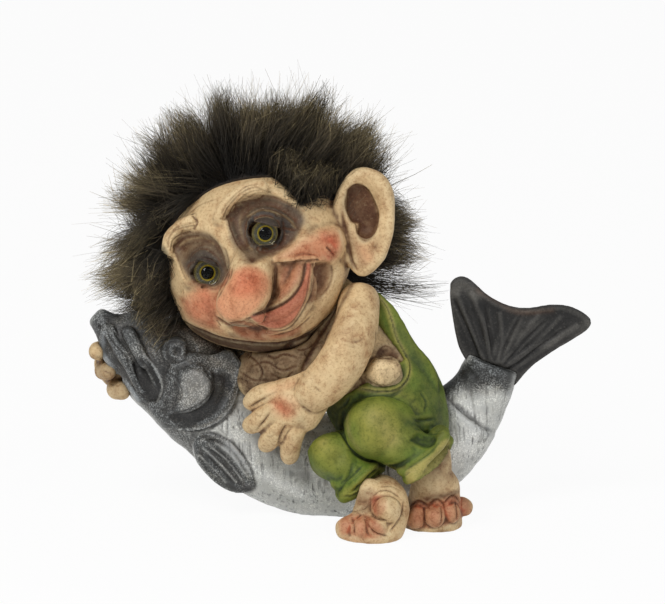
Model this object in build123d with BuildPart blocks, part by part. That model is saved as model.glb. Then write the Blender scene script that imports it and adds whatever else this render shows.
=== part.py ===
from build123d import *
import math
import os

# Troll hugging a fish: a painted casting with set glass eyes and a glued fur wig
# Millimetres, degrees. +X is the viewer's right, +Y runs away from the viewer, +Z is up
# The origin is the middle of the flat that the belly of the fish rests on

# Driving sizes of the whole figure
figure_length = 165.0  # snout to the far tip of the tail fin
seat_trim = 0.0  # height of the resting plane

# Fish
fish_height = 35.0
fish_thickness = 31.0
fish_head_height = 36.0
fish_head_thickness = 26.0
stalk_height = 22.0
stalk_thickness = 16.0
tail_fin_thickness = 3.6
tail_ray_radius = 1.5
lip_radius = 2.0
gill_cover_height = 25.0
gill_cover_bulge = 10.0
fish_eye_radius = 3.1
fish_eye_rim = 0.9
fish_eye_sink = 1.4  # how far the eyeball lies behind its rim
pectoral_fin_thickness = 2.6

# Head
head_width = 66.0
head_depth = 55.0
head_height = 64.0
face_turn = 20.0
head_lean = 32.0
gaze_turn = 4.0
gaze_rise = 12.0
eye_radius = 4.3
eye_back_depth = 2.6
nose_radius = 9.6
brow_radius = 2.3
upper_lip_radius = 3.2
lower_lip_radius = 3.0
tongue_radius = 4.4
ear_height = 36.0
ear_thickness = 5.6
ear_hollow_depth = 2.6

# Trunk and clothes
torso_width = 34.0
torso_depth = 29.0
chest_radius = 12.0
cloth_thickness = 1.4
strap_width = 11.0
strap_thickness = 5.0
side_roll_radius = 5.3

# Limbs
arm_radius = 7.4
palm_width = 21.0
palm_thickness = 11.0
finger_radius = 3.6
far_arm_radius = 6.6
far_finger_radius = 3.3
trouser_radius = 10.4
cuff_flare = 1.4
foot_length = 24.0
toe_radius = 4.1

# Fur wig
backing_thickness = 1.2
pile_length = 9.0
lock_root_radius = 19.0
lock_tip_radius = 2.4
hairline_slope = 0.56  # how far the hairline comes forward for each millimetre towards the crown

# Shared clearances and directions
overrun = 2.0
depth_axis = Vector(0, 1, 0)
up_axis = Vector(0, 0, 1)

# How a limb closes at its ends: distance past the last ring, then the ring's radius, as shares of its radius
dome_shares = [(0.6, 0.8), (0.92, 0.4)]
fish_middle_share = 0.05


def spot(x_share, y_share, z_share):
    """Place in the figure, as shares of its length; the fish's middle is at fish_middle_share."""
    return Vector(x_share, y_share - fish_middle_share, z_share) * figure_length


head_centre = spot(-0.158, 0.012, 0.519)
turn = math.radians(face_turn)
lean = math.radians(head_lean)
level_side = Vector(math.cos(turn), -math.sin(turn), 0)
face_axis = Vector(-math.sin(turn), -math.cos(turn), 0)
side_axis = level_side * math.cos(lean) + up_axis * math.sin(lean)
crown_axis = up_axis * math.cos(lean) - level_side * math.sin(lean)


def head_spot(side_share, face_share, crown_share):
    """Place on the head, as shares of its half width, half depth and half height."""
    side = side_axis * side_share * head_width / 2
    face = face_axis * face_share * head_depth / 2
    return head_centre + side + face + crown_axis * crown_share * head_height / 2


def swell(spots, radii, flat_share=1.0, domed=True):
    """Loft a body through an ellipse at each spot, rounded off at both ends if domed."""
    rings = []
    count = len(spots)
    for place in range(count):
        before = spots[max(place - 1, 0)]
        after = spots[min(place + 1, count - 1)]
        rings.append((spots[place], (after - before).normalized(), radii[place]))
    if domed:
        for reach_share, ring_share in dome_shares:
            start = spots[0] + (spots[0] - spots[1]).normalized() * reach_share * radii[0]
            end = spots[-1] + (spots[-1] - spots[-2]).normalized() * reach_share * radii[-1]
            rings.insert(0, (start, (spots[1] - spots[0]).normalized(), radii[0] * ring_share))
            rings.append((end, (spots[-1] - spots[-2]).normalized(), radii[-1] * ring_share))
    sections = []
    for centre, along, radius in rings:
        across = along.cross(depth_axis).normalized()
        with BuildSketch(Plane(centre, x_dir=across, z_dir=along)) as ring:
            Ellipse(radius, radius * flat_share)
        sections.append(ring.sketch)
    loft(sections)


def carve(*neighbours):
    """Cut the larger neighbours out of the part under way."""
    for neighbour in neighbours:
        add(neighbour.part, mode=Mode.SUBTRACT)


def stand_on_floor():
    """Trim the part under way at the resting plane."""
    split(bisect_by=Plane.XY.offset(seat_trim), keep=Keep.TOP)


def write(piece, label):
    """Name a finished piece and write it."""
    piece.part.label = label
    export_step(piece.part, f"parts/{label}.step")


os.makedirs("parts", exist_ok=True)

# Glass eyes: a clear front dome and a painted back behind it, both turned to where the troll looks
rise = math.radians(gaze_rise)
sideways = math.radians(gaze_turn)
level_gaze = Vector(-math.sin(sideways), -math.cos(sideways), 0)
gaze_axis = level_gaze * math.cos(rise) + up_axis * math.sin(rise)
eye_shares = {"left": (0.47, 0.80, 0.23), "right": (-0.28, 0.81, 0.18)}
eye_balls = {}
for side, shares in eye_shares.items():
    centre = head_spot(*shares)
    behind_iris = Plane(centre - gaze_axis * (eye_radius - eye_back_depth), z_dir=gaze_axis)
    with BuildPart() as eye_ball:
        with Locations(centre):
            Sphere(eye_radius)
    eye_balls[side] = eye_ball
    with BuildPart() as eye_glass:
        add(eye_ball.part)
        split(bisect_by=behind_iris, keep=Keep.TOP)
    write(eye_glass, f"{side}_eye_glass")
    with BuildPart() as eye_back:
        add(eye_ball.part)
        split(bisect_by=behind_iris, keep=Keep.BOTTOM)
    write(eye_back, f"{side}_eye_back")

# Head: ellipses stacked from the chin to the crown
# height, half width, half depth and forward shift, as shares of the head's own half sizes
head_ring_shares = [
    (-0.94, 0.14, 0.16, 0.22),
    (-0.86, 0.30, 0.34, 0.19),
    (-0.66, 0.61, 0.66, 0.12),
    (-0.46, 0.82, 0.85, 0.07),
    (-0.24, 0.96, 0.96, 0.02),
    (0.02, 1.00, 1.00, 0.00),
    (0.36, 0.96, 0.98, -0.03),
    (0.68, 0.78, 0.80, -0.06),
    (0.90, 0.50, 0.50, -0.08),
    (0.99, 0.20, 0.20, -0.08),
]


def head_loft(growth):
    """Loft the head's rings, with its surface moved out by growth."""
    sections = []
    for crown_share, width_share, depth_share, face_share in head_ring_shares:
        centre = head_spot(0, face_share, crown_share) + crown_axis * growth * crown_share
        with BuildSketch(Plane(centre, x_dir=side_axis, z_dir=crown_axis)) as ring:
            Ellipse(width_share * (head_width / 2 + growth), depth_share * (head_depth / 2 + growth))
        sections.append(ring.sketch)
    loft(sections)


with BuildPart() as head:
    head_loft(0)
    carve(*eye_balls.values())
write(head, "head")

nose_shares = [
    (0.30, 0.72, 0.22), (0.28, 0.89, 0.10), (0.22, 1.04, -0.04), (0.12, 1.12, -0.17), (0.00, 1.10, -0.26),
]
nose_girth_shares = [0.44, 0.58, 0.74, 0.86, 0.87]
with BuildPart() as nose:
    nose_radii = [nose_radius * share for share in nose_girth_shares]
    swell([head_spot(*shares) for shares in nose_shares], nose_radii)
    carve(head, *eye_balls.values())
write(nose, "nose")

brow_shares = {
    "left": [(0.16, 0.83, 0.60), (0.33, 0.79, 0.67), (0.48, 0.73, 0.69), (0.62, 0.65, 0.66)],
    "right": [(-0.56, 0.72, 0.56), (-0.50, 0.70, 0.66), (-0.37, 0.70, 0.72), (-0.20, 0.72, 0.72)],
}
for side, shares in brow_shares.items():
    with BuildPart() as brow:
        swell([head_spot(*place) for place in shares], [brow_radius] * len(shares))
        carve(head, *eye_balls.values())
    write(brow, f"{side}_brow")

upper_lip_shares = [
    (0.64, 0.75, -0.22), (0.57, 0.82, -0.34), (0.41, 0.88, -0.43), (0.22, 0.92, -0.46), (0.06, 0.94, -0.44),
]
upper_lip_girth_shares = [0.6, 0.9, 1.0, 0.9, 0.6]
with BuildPart() as upper_lip:
    lip_radii = [upper_lip_radius * share for share in upper_lip_girth_shares]
    swell([head_spot(*place) for place in upper_lip_shares], lip_radii)
    carve(head, nose)
write(upper_lip, "upper_lip")

lower_lip_shares = [
    (0.69, 0.70, -0.27), (0.59, 0.72, -0.44), (0.41, 0.72, -0.60), (0.21, 0.76, -0.67), (0.03, 0.80, -0.64),
]
lower_lip_girth_shares = [0.6, 0.9, 1.0, 1.0, 0.8]
with BuildPart() as lower_lip:
    lip_radii = [lower_lip_radius * share for share in lower_lip_girth_shares]
    swell([head_spot(*place) for place in lower_lip_shares], lip_radii)
    carve(head, nose, upper_lip)
write(lower_lip, "lower_lip")

tongue_shares = [(0.50, 0.70, -0.42), (0.32, 0.74, -0.52), (0.12, 0.78, -0.54)]
tongue_girth_shares = [0.7, 1.0, 0.9]
with BuildPart() as tongue:
    tongue_radii = [tongue_radius * share for share in tongue_girth_shares]
    swell([head_spot(*place) for place in tongue_shares], tongue_radii)
    carve(head, nose, upper_lip, lower_lip)
write(tongue, "tongue")

# Ear: a dished plate that faces the viewer
ear_centre = head_spot(1.16, 0.02, -0.16)
ear_turn_share = 0.22
ear_tilt_share = 0.10
ear_front = Vector(-ear_turn_share, -1, ear_tilt_share).normalized()
ear_plane = Plane(ear_centre, x_dir=Vector(1, -ear_turn_share, 0), z_dir=ear_front)
ear_outline_shares = [
    (-0.16, 0.40), (0.00, 0.50), (0.22, 0.42), (0.30, 0.14), (0.28, -0.14),
    (0.18, -0.38), (0.00, -0.50), (-0.14, -0.36), (-0.24, -0.06), (-0.25, 0.22),
]
ear_hollow_shares = [
    (-0.12, 0.28), (0.02, 0.40), (0.16, 0.28), (0.17, 0.04), (0.06, -0.12), (-0.06, -0.06), (-0.13, 0.10),
]
ear_ring_shares = [(-0.5, 0.82), (-0.1, 1.0), (0.3, 0.98), (0.5, 0.88)]
hollow_ring_shares = [0.7, 1.0, 1.15]


def ear_section(outline, lift, scale_share):
    """One closed outline of the ear, lifted towards the viewer."""
    with BuildSketch(ear_plane.offset(lift)) as section:
        with BuildLine():
            size = ear_height * scale_share
            Spline([(x * size, y * size) for x, y in outline], periodic=True)
        make_face()
    return section.sketch


with BuildPart() as left_ear:
    loft([ear_section(ear_outline_shares, lift * ear_thickness, size) for lift, size in ear_ring_shares])
    ear_face = ear_thickness / 2
    hollow_lifts = [ear_face - ear_hollow_depth, ear_face, ear_face + overrun]
    hollow_steps = zip(hollow_lifts, hollow_ring_shares)
    loft([ear_section(ear_hollow_shares, lift, size) for lift, size in hollow_steps], mode=Mode.SUBTRACT)
    carve(head)
write(left_ear, "left_ear")

# Fish: bent like a bowl, head to the viewer's left and tail up at the right
fish_body_shares = [
    (-0.290, 0.05, 0.235), (-0.240, 0.05, 0.190), (-0.160, 0.05, 0.135), (-0.060, 0.05, 0.098),
    (0.050, 0.05, 0.090), (0.150, 0.05, 0.115), (0.220, 0.05, 0.165), (0.252, 0.05, 0.205),
]
fish_body_girth_shares = [0.84, 0.90, 0.97, 1.0, 1.0, 0.93, 0.80, 0.70]
with BuildPart() as fish_body:
    fish_radii = [fish_height / 2 * share for share in fish_body_girth_shares]
    fish_spots = [spot(*place) for place in fish_body_shares]
    swell(fish_spots, fish_radii, fish_thickness / fish_height, domed=False)
    stand_on_floor()
write(fish_body, "fish_body")

stalk_shares = [
    (0.235, 0.05, 0.184), (0.262, 0.05, 0.218), (0.282, 0.05, 0.250), (0.296, 0.05, 0.282),
    (0.305, 0.05, 0.305),
]
stalk_girth_shares = [1.14, 1.04, 0.92, 0.84, 0.80]
with BuildPart() as tail_stalk:
    stalk_radii = [stalk_height / 2 * share for share in stalk_girth_shares]
    stalk_spots = [spot(*place) for place in stalk_shares]
    swell(stalk_spots, stalk_radii, stalk_thickness / stalk_height, domed=False)
    carve(fish_body)
write(tail_stalk, "tail_stalk")

tail_outline_shares = [
    (0.262, 0.298), (0.240, 0.330), (0.226, 0.380), (0.218, 0.440), (0.226, 0.474), (0.246, 0.478),
    (0.280, 0.452), (0.318, 0.426), (0.360, 0.414), (0.425, 0.420), (0.470, 0.412), (0.500, 0.388),
    (0.470, 0.358), (0.410, 0.320), (0.368, 0.284), (0.334, 0.252), (0.300, 0.262),
]
tail_root_share = (0.298, 0.285)
tail_ray_taper_share = 0.35
tail_tip_shares = [
    (0.238, 0.462), (0.280, 0.438), (0.325, 0.412), (0.375, 0.402), (0.430, 0.402), (0.475, 0.388),
]
with BuildPart() as tail_fin:
    with BuildSketch(Plane.XZ) as tail_outline:
        with BuildLine():
            Spline([(x * figure_length, z * figure_length) for x, z in tail_outline_shares], periodic=True)
        make_face()
    extrude(tail_outline.sketch, amount=tail_fin_thickness / 2, both=True)
    for face_side in (-1, 1):
        root = Vector(tail_root_share[0], 0, tail_root_share[1]) * figure_length
        root = root + depth_axis * face_side * tail_fin_thickness / 2
        for tip_share in tail_tip_shares:
            tip = Vector(tip_share[0], 0, tip_share[1]) * figure_length
            tip = tip + depth_axis * face_side * tail_fin_thickness / 4
            with Locations(Plane(root, z_dir=tip - root)):
                to_tip = (tip - root).length
                end_radius = tail_ray_radius * tail_ray_taper_share
                Cone(tail_ray_radius, end_radius, to_tip, align=(Align.CENTER, Align.CENTER, Align.MIN))
    carve(tail_stalk, fish_body)
write(tail_fin, "tail_fin")

fish_head_shares = [
    (-0.474, 0.05, 0.386), (-0.454, 0.05, 0.368), (-0.420, 0.05, 0.348), (-0.380, 0.05, 0.322),
    (-0.334, 0.05, 0.290), (-0.290, 0.05, 0.255), (-0.254, 0.05, 0.220),
]
fish_head_girth_shares = [0.26, 0.44, 0.62, 0.80, 0.94, 1.0, 1.0]
with BuildPart() as fish_head:
    fish_radii = [fish_head_height / 2 * share for share in fish_head_girth_shares]
    swell([spot(*place) for place in fish_head_shares], fish_radii, fish_head_thickness / fish_head_height)
    carve(fish_body)
write(fish_head, "fish_head")


def mirror_fish(front):
    """The same piece on the far flank of the fish."""
    mirror(front.part, about=Plane.XZ)


gill_cover_shares = [
    (-0.335, -0.012, 0.228), (-0.300, -0.018, 0.252), (-0.262, -0.018, 0.280), (-0.236, -0.012, 0.298),
]
gill_girth_shares = [0.62, 1.0, 0.98, 0.60]
with BuildPart() as gill_cover_front:
    gill_radii = [gill_cover_height / 2 * share for share in gill_girth_shares]
    swell([spot(*place) for place in gill_cover_shares], gill_radii, gill_cover_bulge / gill_cover_height)
    carve(fish_head, fish_body, head)
write(gill_cover_front, "gill_cover_front")
with BuildPart() as gill_cover_back:
    mirror_fish(gill_cover_front)
write(gill_cover_back, "gill_cover_back")

upper_jaw_shares = [
    (-0.425, 0.000, 0.378), (-0.404, -0.008, 0.340), (-0.384, -0.012, 0.302), (-0.364, -0.010, 0.264),
]
with BuildPart() as fish_upper_lip:
    swell([spot(*place) for place in upper_jaw_shares], [lip_radius] * len(upper_jaw_shares))
    carve(fish_head, gill_cover_front)
write(fish_upper_lip, "fish_upper_lip")

lower_jaw_shares = [
    (-0.462, 0.020, 0.376), (-0.442, 0.008, 0.340), (-0.420, 0.002, 0.304), (-0.394, -0.002, 0.262),
]
with BuildPart() as fish_lower_lip:
    swell([spot(*place) for place in lower_jaw_shares], [lip_radius] * len(lower_jaw_shares))
    carve(fish_head)
write(fish_lower_lip, "fish_lower_lip")

fish_eye_centre = spot(-0.332, -0.016, 0.346)
with BuildPart() as fish_eye_front:
    with Locations(fish_eye_centre + depth_axis * fish_eye_sink):
        Sphere(fish_eye_radius)
    with BuildSketch(Plane(fish_eye_centre, z_dir=-depth_axis)) as eye_rim:
        Circle(fish_eye_radius + fish_eye_rim)
        Circle(fish_eye_radius - fish_eye_rim, mode=Mode.SUBTRACT)
    extrude(eye_rim.sketch, amount=fish_eye_rim)
    extrude(eye_rim.sketch, amount=-fish_eye_radius)
    carve(fish_head, gill_cover_front)
write(fish_eye_front, "fish_eye_front")
with BuildPart() as fish_eye_back:
    mirror_fish(fish_eye_front)
write(fish_eye_back, "fish_eye_back")

# Pectoral fins: leaves that lie on the flank and reach past the belly
fin_root = spot(-0.282, -0.026, 0.156)
fin_tip = spot(-0.186, 0.004, 0.066)
fin_along = (fin_tip - fin_root).normalized()
fin_across = fin_along.cross(depth_axis).normalized()
fin_plane = Plane(fin_root, x_dir=fin_along, z_dir=fin_across.cross(fin_along))
fin_outline_shares = [
    (-0.10, 0.00), (0.06, 0.19), (0.40, 0.28), (0.80, 0.25), (1.05, 0.08), (1.02, -0.11), (0.66, -0.21),
    (0.20, -0.17),
]
fin_length = (fin_tip - fin_root).length
with BuildPart() as pectoral_fin_front:
    with BuildSketch(fin_plane) as fin_outline:
        with BuildLine():
            Spline([(x * fin_length, y * fin_length) for x, y in fin_outline_shares], periodic=True)
        make_face()
    extrude(fin_outline.sketch, amount=pectoral_fin_thickness, both=True)
    carve(fish_body, fish_head, gill_cover_front)
    stand_on_floor()
write(pectoral_fin_front, "pectoral_fin_front")
with BuildPart() as pectoral_fin_back:
    mirror_fish(pectoral_fin_front)
write(pectoral_fin_back, "pectoral_fin_back")

# Trunk of the troll, lying along the back of the fish
torso_shares = [
    (-0.040, 0.020, 0.440), (-0.005, 0.005, 0.395), (0.030, -0.005, 0.345),
    (0.062, -0.018, 0.290), (0.095, -0.028, 0.235), (0.118, -0.034, 0.185),
]
torso_girth_shares = [0.66, 0.84, 0.94, 1.0, 1.04, 0.94]
seat_end_share = (0.140, -0.044, 0.140)
seat_end_girth_share = 0.80
torso_spots = [spot(*place) for place in torso_shares]
torso_radii = [torso_width / 2 * share for share in torso_girth_shares]
with BuildPart() as torso:
    swell(torso_spots, torso_radii, torso_depth / torso_width)
    carve(head, fish_body, fish_head, left_ear)
write(torso, "torso")

chest_shares = [(-0.060, -0.020, 0.340), (-0.105, -0.012, 0.318), (-0.150, 0.002, 0.296)]
chest_girth_shares = [1.0, 1.05, 0.84]
with BuildPart() as chest:
    swell([spot(*place) for place in chest_shares], [chest_radius * share for share in chest_girth_shares])
    carve(head, fish_body, fish_head, torso, gill_cover_front, lower_lip)
write(chest, "chest")

first_seat_ring = 3
with BuildPart() as dungarees_seat:
    seat_spots = torso_spots[first_seat_ring:] + [spot(*seat_end_share)]
    seat_radii = [radius + cloth_thickness for radius in torso_radii[first_seat_ring:]]
    seat_radii.append(torso_width / 2 * seat_end_girth_share)
    swell(seat_spots, seat_radii, torso_depth / torso_width, domed=False)
    carve(torso, fish_body, tail_stalk)
    stand_on_floor()
write(dungarees_seat, "dungarees_seat")

strap_shares = [
    (0.040, -0.035, 0.462), (0.078, -0.045, 0.430), (0.104, -0.052, 0.385), (0.130, -0.058, 0.335),
    (0.152, -0.060, 0.285),
]
strap_girth_shares = [0.7, 0.8, 0.9, 1.1, 1.3]
with BuildPart() as dungarees_strap:
    strap_radii = [strap_width / 2 * share for share in strap_girth_shares]
    swell([spot(*place) for place in strap_shares], strap_radii, strap_thickness / strap_width)
    carve(torso, dungarees_seat, head, left_ear)
write(dungarees_strap, "dungarees_strap")

side_roll_share = (0.084, -0.090, 0.318)
with BuildPart() as side_roll:
    with Locations(spot(*side_roll_share)):
        Sphere(side_roll_radius)
    carve(torso, dungarees_seat, dungarees_strap)
write(side_roll, "side_roll")

# Near arm, bent round the fish with the hand on its flank
upper_arm_shares = [(0.036, -0.070, 0.452), (0.030, -0.095, 0.415), (0.014, -0.120, 0.370)]
upper_arm_girth_shares = [0.92, 0.98, 1.04]
with BuildPart() as left_upper_arm:
    arm_radii = [arm_radius * share for share in upper_arm_girth_shares]
    swell([spot(*place) for place in upper_arm_shares], arm_radii)
    carve(head, torso, dungarees_strap, side_roll, left_ear, lower_lip)
write(left_upper_arm, "left_upper_arm")

forearm_shares = [(0.010, -0.124, 0.358), (-0.014, -0.138, 0.325), (-0.046, -0.138, 0.292)]
forearm_girth_shares = [1.04, 1.04, 0.96]
with BuildPart() as left_forearm:
    arm_radii = [arm_radius * share for share in forearm_girth_shares]
    swell([spot(*place) for place in forearm_shares], arm_radii)
    carve(left_upper_arm, head, torso, fish_body, dungarees_seat, side_roll, chest)
write(left_forearm, "left_forearm")

palm_shares = [(-0.066, -0.126, 0.278), (-0.090, -0.120, 0.256), (-0.106, -0.110, 0.240)]
palm_girth_shares = [0.80, 0.94, 0.88]
with BuildPart() as left_palm:
    palm_radii = [palm_width / 2 * share for share in palm_girth_shares]
    swell([spot(*place) for place in palm_shares], palm_radii, palm_thickness / palm_width)
    carve(left_forearm, fish_body, torso, chest, fish_head, gill_cover_front)
write(left_palm, "left_palm")

finger_shares = {
    "left_thumb": [
        (-0.100, -0.118, 0.292), (-0.135, -0.116, 0.282), (-0.160, -0.104, 0.272), (-0.178, -0.088, 0.256),
    ],
    "left_index_finger": [
        (-0.108, -0.122, 0.258), (-0.138, -0.120, 0.240), (-0.162, -0.106, 0.222), (-0.178, -0.090, 0.208),
    ],
    "left_middle_finger": [
        (-0.104, -0.122, 0.234), (-0.124, -0.118, 0.210), (-0.140, -0.104, 0.186), (-0.149, -0.088, 0.170),
    ],
    "left_little_finger": [
        (-0.084, -0.120, 0.222), (-0.094, -0.114, 0.194), (-0.101, -0.100, 0.164), (-0.103, -0.086, 0.146),
    ],
}
finger_girth_shares = [0.92, 1.0, 0.98, 0.86]
earlier_fingers = []
for label, shares in finger_shares.items():
    with BuildPart() as finger:
        finger_radii = [finger_radius * share for share in finger_girth_shares]
        swell([spot(*place) for place in shares], finger_radii)
        carve(left_palm, left_forearm, fish_body, fish_head, gill_cover_front, chest, *earlier_fingers)
    earlier_fingers.append(finger)
    write(finger, label)

# Far arm, round the back of the fish's head
far_arm_shares = [
    (-0.045, 0.090, 0.385), (-0.110, 0.150, 0.335), (-0.200, 0.186, 0.288),
    (-0.290, 0.192, 0.256), (-0.370, 0.172, 0.250), (-0.418, 0.146, 0.262),
]
far_arm_girth_shares = [1.1, 1.1, 1.05, 1, 1, 0.95]
with BuildPart() as right_arm:
    arm_radii = [far_arm_radius * share for share in far_arm_girth_shares]
    swell([spot(*place) for place in far_arm_shares], arm_radii)
    carve(torso, head, fish_body, fish_head, gill_cover_back)
write(right_arm, "right_arm")

far_palm_shares = [(-0.436, 0.128, 0.272), (-0.456, 0.104, 0.290)]
far_palm_girth_shares = [1.1, 1.0]
with BuildPart() as right_palm:
    palm_radii = [far_arm_radius * share for share in far_palm_girth_shares]
    swell([spot(*place) for place in far_palm_shares], palm_radii)
    carve(right_arm, fish_head, fish_eye_back)
write(right_palm, "right_palm")

far_finger_shares = {
    "right_index_finger": [(-0.468, 0.096, 0.312), (-0.484, 0.068, 0.326), (-0.488, 0.036, 0.330)],
    "right_middle_finger": [(-0.466, 0.100, 0.282), (-0.474, 0.066, 0.286), (-0.466, 0.034, 0.290)],
    "right_little_finger": [(-0.442, 0.106, 0.248), (-0.450, 0.070, 0.246), (-0.438, 0.030, 0.250)],
}
far_finger_girth_shares = [1.0, 1.0, 0.84]
far_fingers = []
for label, shares in far_finger_shares.items():
    with BuildPart() as finger:
        finger_radii = [far_finger_radius * share for share in far_finger_girth_shares]
        swell([spot(*place) for place in shares], finger_radii)
        carve(right_palm, right_arm, fish_head, fish_lower_lip, *far_fingers)
    far_fingers.append(finger)
    write(finger, label)

# Trouser legs, each from the seat over a raised knee to a flared cuff
knee_shares = {"left": (0.072, -0.118, 0.209, 1.0), "right": (-0.014, -0.108, 0.148, 0.78)}
cuff_shares = {
    "left": [(0.104, -0.124, 0.186, 0.80), (0.140, -0.138, 0.164, 0.74), (0.166, -0.138, 0.146, 0.74)],
    "right": [(0.004, -0.118, 0.134, 0.68), (0.026, -0.130, 0.118, 0.60), (0.042, -0.136, 0.104, 0.58)],
}
thigh_shares = {"left": (0.112, -0.076, 0.206, 0.95), "right": (0.044, -0.078, 0.146, 0.80)}
calf_root_share = 0.8
trousers = []
for side in ("left", "right"):
    knee = knee_shares[side]
    thigh = thigh_shares[side]
    with BuildPart() as trouser_leg:
        swell([spot(*thigh[:3]), spot(*knee[:3])], [trouser_radius * thigh[3], trouser_radius * knee[3]])
        calf_spots = [spot(*place[:3]) for place in cuff_shares[side]]
        calf_radii = [trouser_radius * place[3] for place in cuff_shares[side]]
        calf_radii[-1] = calf_radii[-1] + cuff_flare
        calf_root_radius = trouser_radius * knee[3] * calf_root_share
        swell([spot(*knee[:3])] + calf_spots, [calf_root_radius] + calf_radii, domed=False)
        carve(torso, dungarees_seat, fish_body, left_forearm, left_palm, *earlier_fingers, *trousers)
        stand_on_floor()
    trousers.append(trouser_leg)
    write(trouser_leg, f"{side}_trouser_leg")

# Bare feet: rings stacked from the ankle to the sole, with toes in front
# x, y and height as shares of the figure's length, then half length and half width as shares of foot length
foot_ring_shares = {
    "left": [
        (0.176, -0.124, 0.150, 0.25), (0.180, -0.116, 0.120, 0.28), (0.188, -0.104, 0.084, 0.34),
        (0.184, -0.092, 0.054, 0.36), (0.182, -0.088, 0.018, 0.41), (0.182, -0.088, 0.000, 0.40),
    ],
    "right": [
        (0.050, -0.134, 0.112, 0.22), (0.082, -0.150, 0.096, 0.28), (0.088, -0.168, 0.062, 0.33),
        (0.074, -0.178, 0.034, 0.40), (0.062, -0.184, 0.012, 0.44), (0.062, -0.184, 0.000, 0.40),
    ],
}
toe_shares = {
    "left": [
        (0.148, -0.138, 0.028, 0.80), (0.186, -0.146, 0.033, 0.82), (0.219, -0.122, 0.036, 0.80),
        (0.244, -0.068, 0.036, 0.78),
    ],
    "right": [
        (0.092, -0.208, 0.062, 1.10), (0.070, -0.222, 0.028, 0.92), (0.040, -0.220, 0.024, 0.92),
        (0.012, -0.202, 0.024, 0.96),
    ],
}
foot_width_share = 0.9
toe_root_share = 0.40
toe_root_girth_share = 0.9


def foot_middle(side):
    """Middle of a foot's ball, that the toes point away from."""
    return spot(*foot_ring_shares[side][3][:3])


for side in ("left", "right"):
    with BuildPart() as foot:
        sections = []
        for x_share, y_share, z_share, size_share in foot_ring_shares[side]:
            with BuildSketch(Plane(spot(x_share, y_share, z_share), z_dir=up_axis)) as ring:
                Ellipse(size_share * foot_length, size_share * foot_length * foot_width_share)
            sections.append(ring.sketch)
        loft(sections)
        carve(fish_body, torso, dungarees_seat, *trousers)
    write(foot, f"{side}_foot")
    earlier_toes = []
    for x_share, y_share, z_share, size_share in toe_shares[side]:
        tip = spot(x_share, y_share, z_share)
        radius = toe_radius * size_share
        root = tip + (foot_middle(side) - tip) * toe_root_share
        with BuildPart() as toe:
            swell([root, tip], [radius * toe_root_girth_share, radius])
            stand_on_floor()
            carve(foot, *earlier_toes)
        earlier_toes.append(toe)
    with BuildPart() as toes:
        for toe in earlier_toes:
            add(toe.part)
    write(toes, f"{side}_toes")

# Fur wig: a thin backing glued over the scalp, and the pile that stands out of it
hairline_share = -0.10
hairline_normal = (crown_axis * hairline_slope - face_axis).normalized()
hairline_plane = Plane(head_spot(0, hairline_share, 0), x_dir=side_axis, z_dir=hairline_normal)
with BuildPart() as scalp:
    head_loft(backing_thickness)

with BuildPart() as wig_backing:
    add(scalp.part)
    split(bisect_by=hairline_plane, keep=Keep.TOP)
    carve(head, left_ear, torso, dungarees_strap, left_upper_arm, right_arm)
write(wig_backing, "wig_backing")

# Locks of the pile: where each one ends, as shares of the head's half sizes
lock_shares = [
    (-0.96, -0.22, 1.81), (-1.28, -0.22, 1.51), (-1.52, -0.22, 1.05), (-1.70, -0.15, 0.57),
    (-1.45, -0.10, 0.10), (-0.30, -0.22, 1.95), (0.39, -0.22, 2.01), (0.89, -0.22, 1.59),
    (1.53, -0.30, 1.32), (1.83, -0.37, 0.79), (1.64, -0.59, 0.15), (1.53, -0.65, -0.69),
    (1.38, -0.70, -1.32), (0.79, -0.95, -1.40), (-1.10, -1.20, 0.90), (-0.30, -1.30, 1.35),
    (0.60, -1.30, 1.10), (1.10, -1.35, 0.30), (-1.25, -1.15, 0.00), (-0.40, -1.85, 0.45),
    (0.45, -1.85, 0.10), (-0.50, -1.70, -0.45), (0.70, -1.60, -0.75), (-0.64, -0.52, 1.80),
    (-1.52, -0.50, 0.80), (0.06, -0.52, 1.90), (0.66, -0.52, 1.74), (1.24, -0.54, 1.42),
    (1.70, -0.60, 0.42), (1.52, -0.78, -0.30),
]
lock_root_share = 0.42
pile_centre_shares = (0, -0.20, 0.16)
pile_centre = head_spot(*pile_centre_shares)
with BuildPart() as pile:
    with Locations(pile_centre):
        Sphere(head_width / 2 + pile_length)
    for shares in lock_shares:
        tip = head_spot(*shares)
        root = pile_centre + (tip - pile_centre) * lock_root_share
        with Locations(Plane(root, z_dir=tip - root)):
            to_tip = (tip - root).length
            stood_on_root = (Align.CENTER, Align.CENTER, Align.MIN)
            Cone(lock_root_radius, lock_tip_radius, to_tip, align=stood_on_root)
    split(bisect_by=hairline_plane, keep=Keep.TOP)
    carve(scalp, left_ear, torso, dungarees_seat, dungarees_strap, left_upper_arm, right_arm, fish_head)
    carve(gill_cover_back, fish_eye_back)

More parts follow.
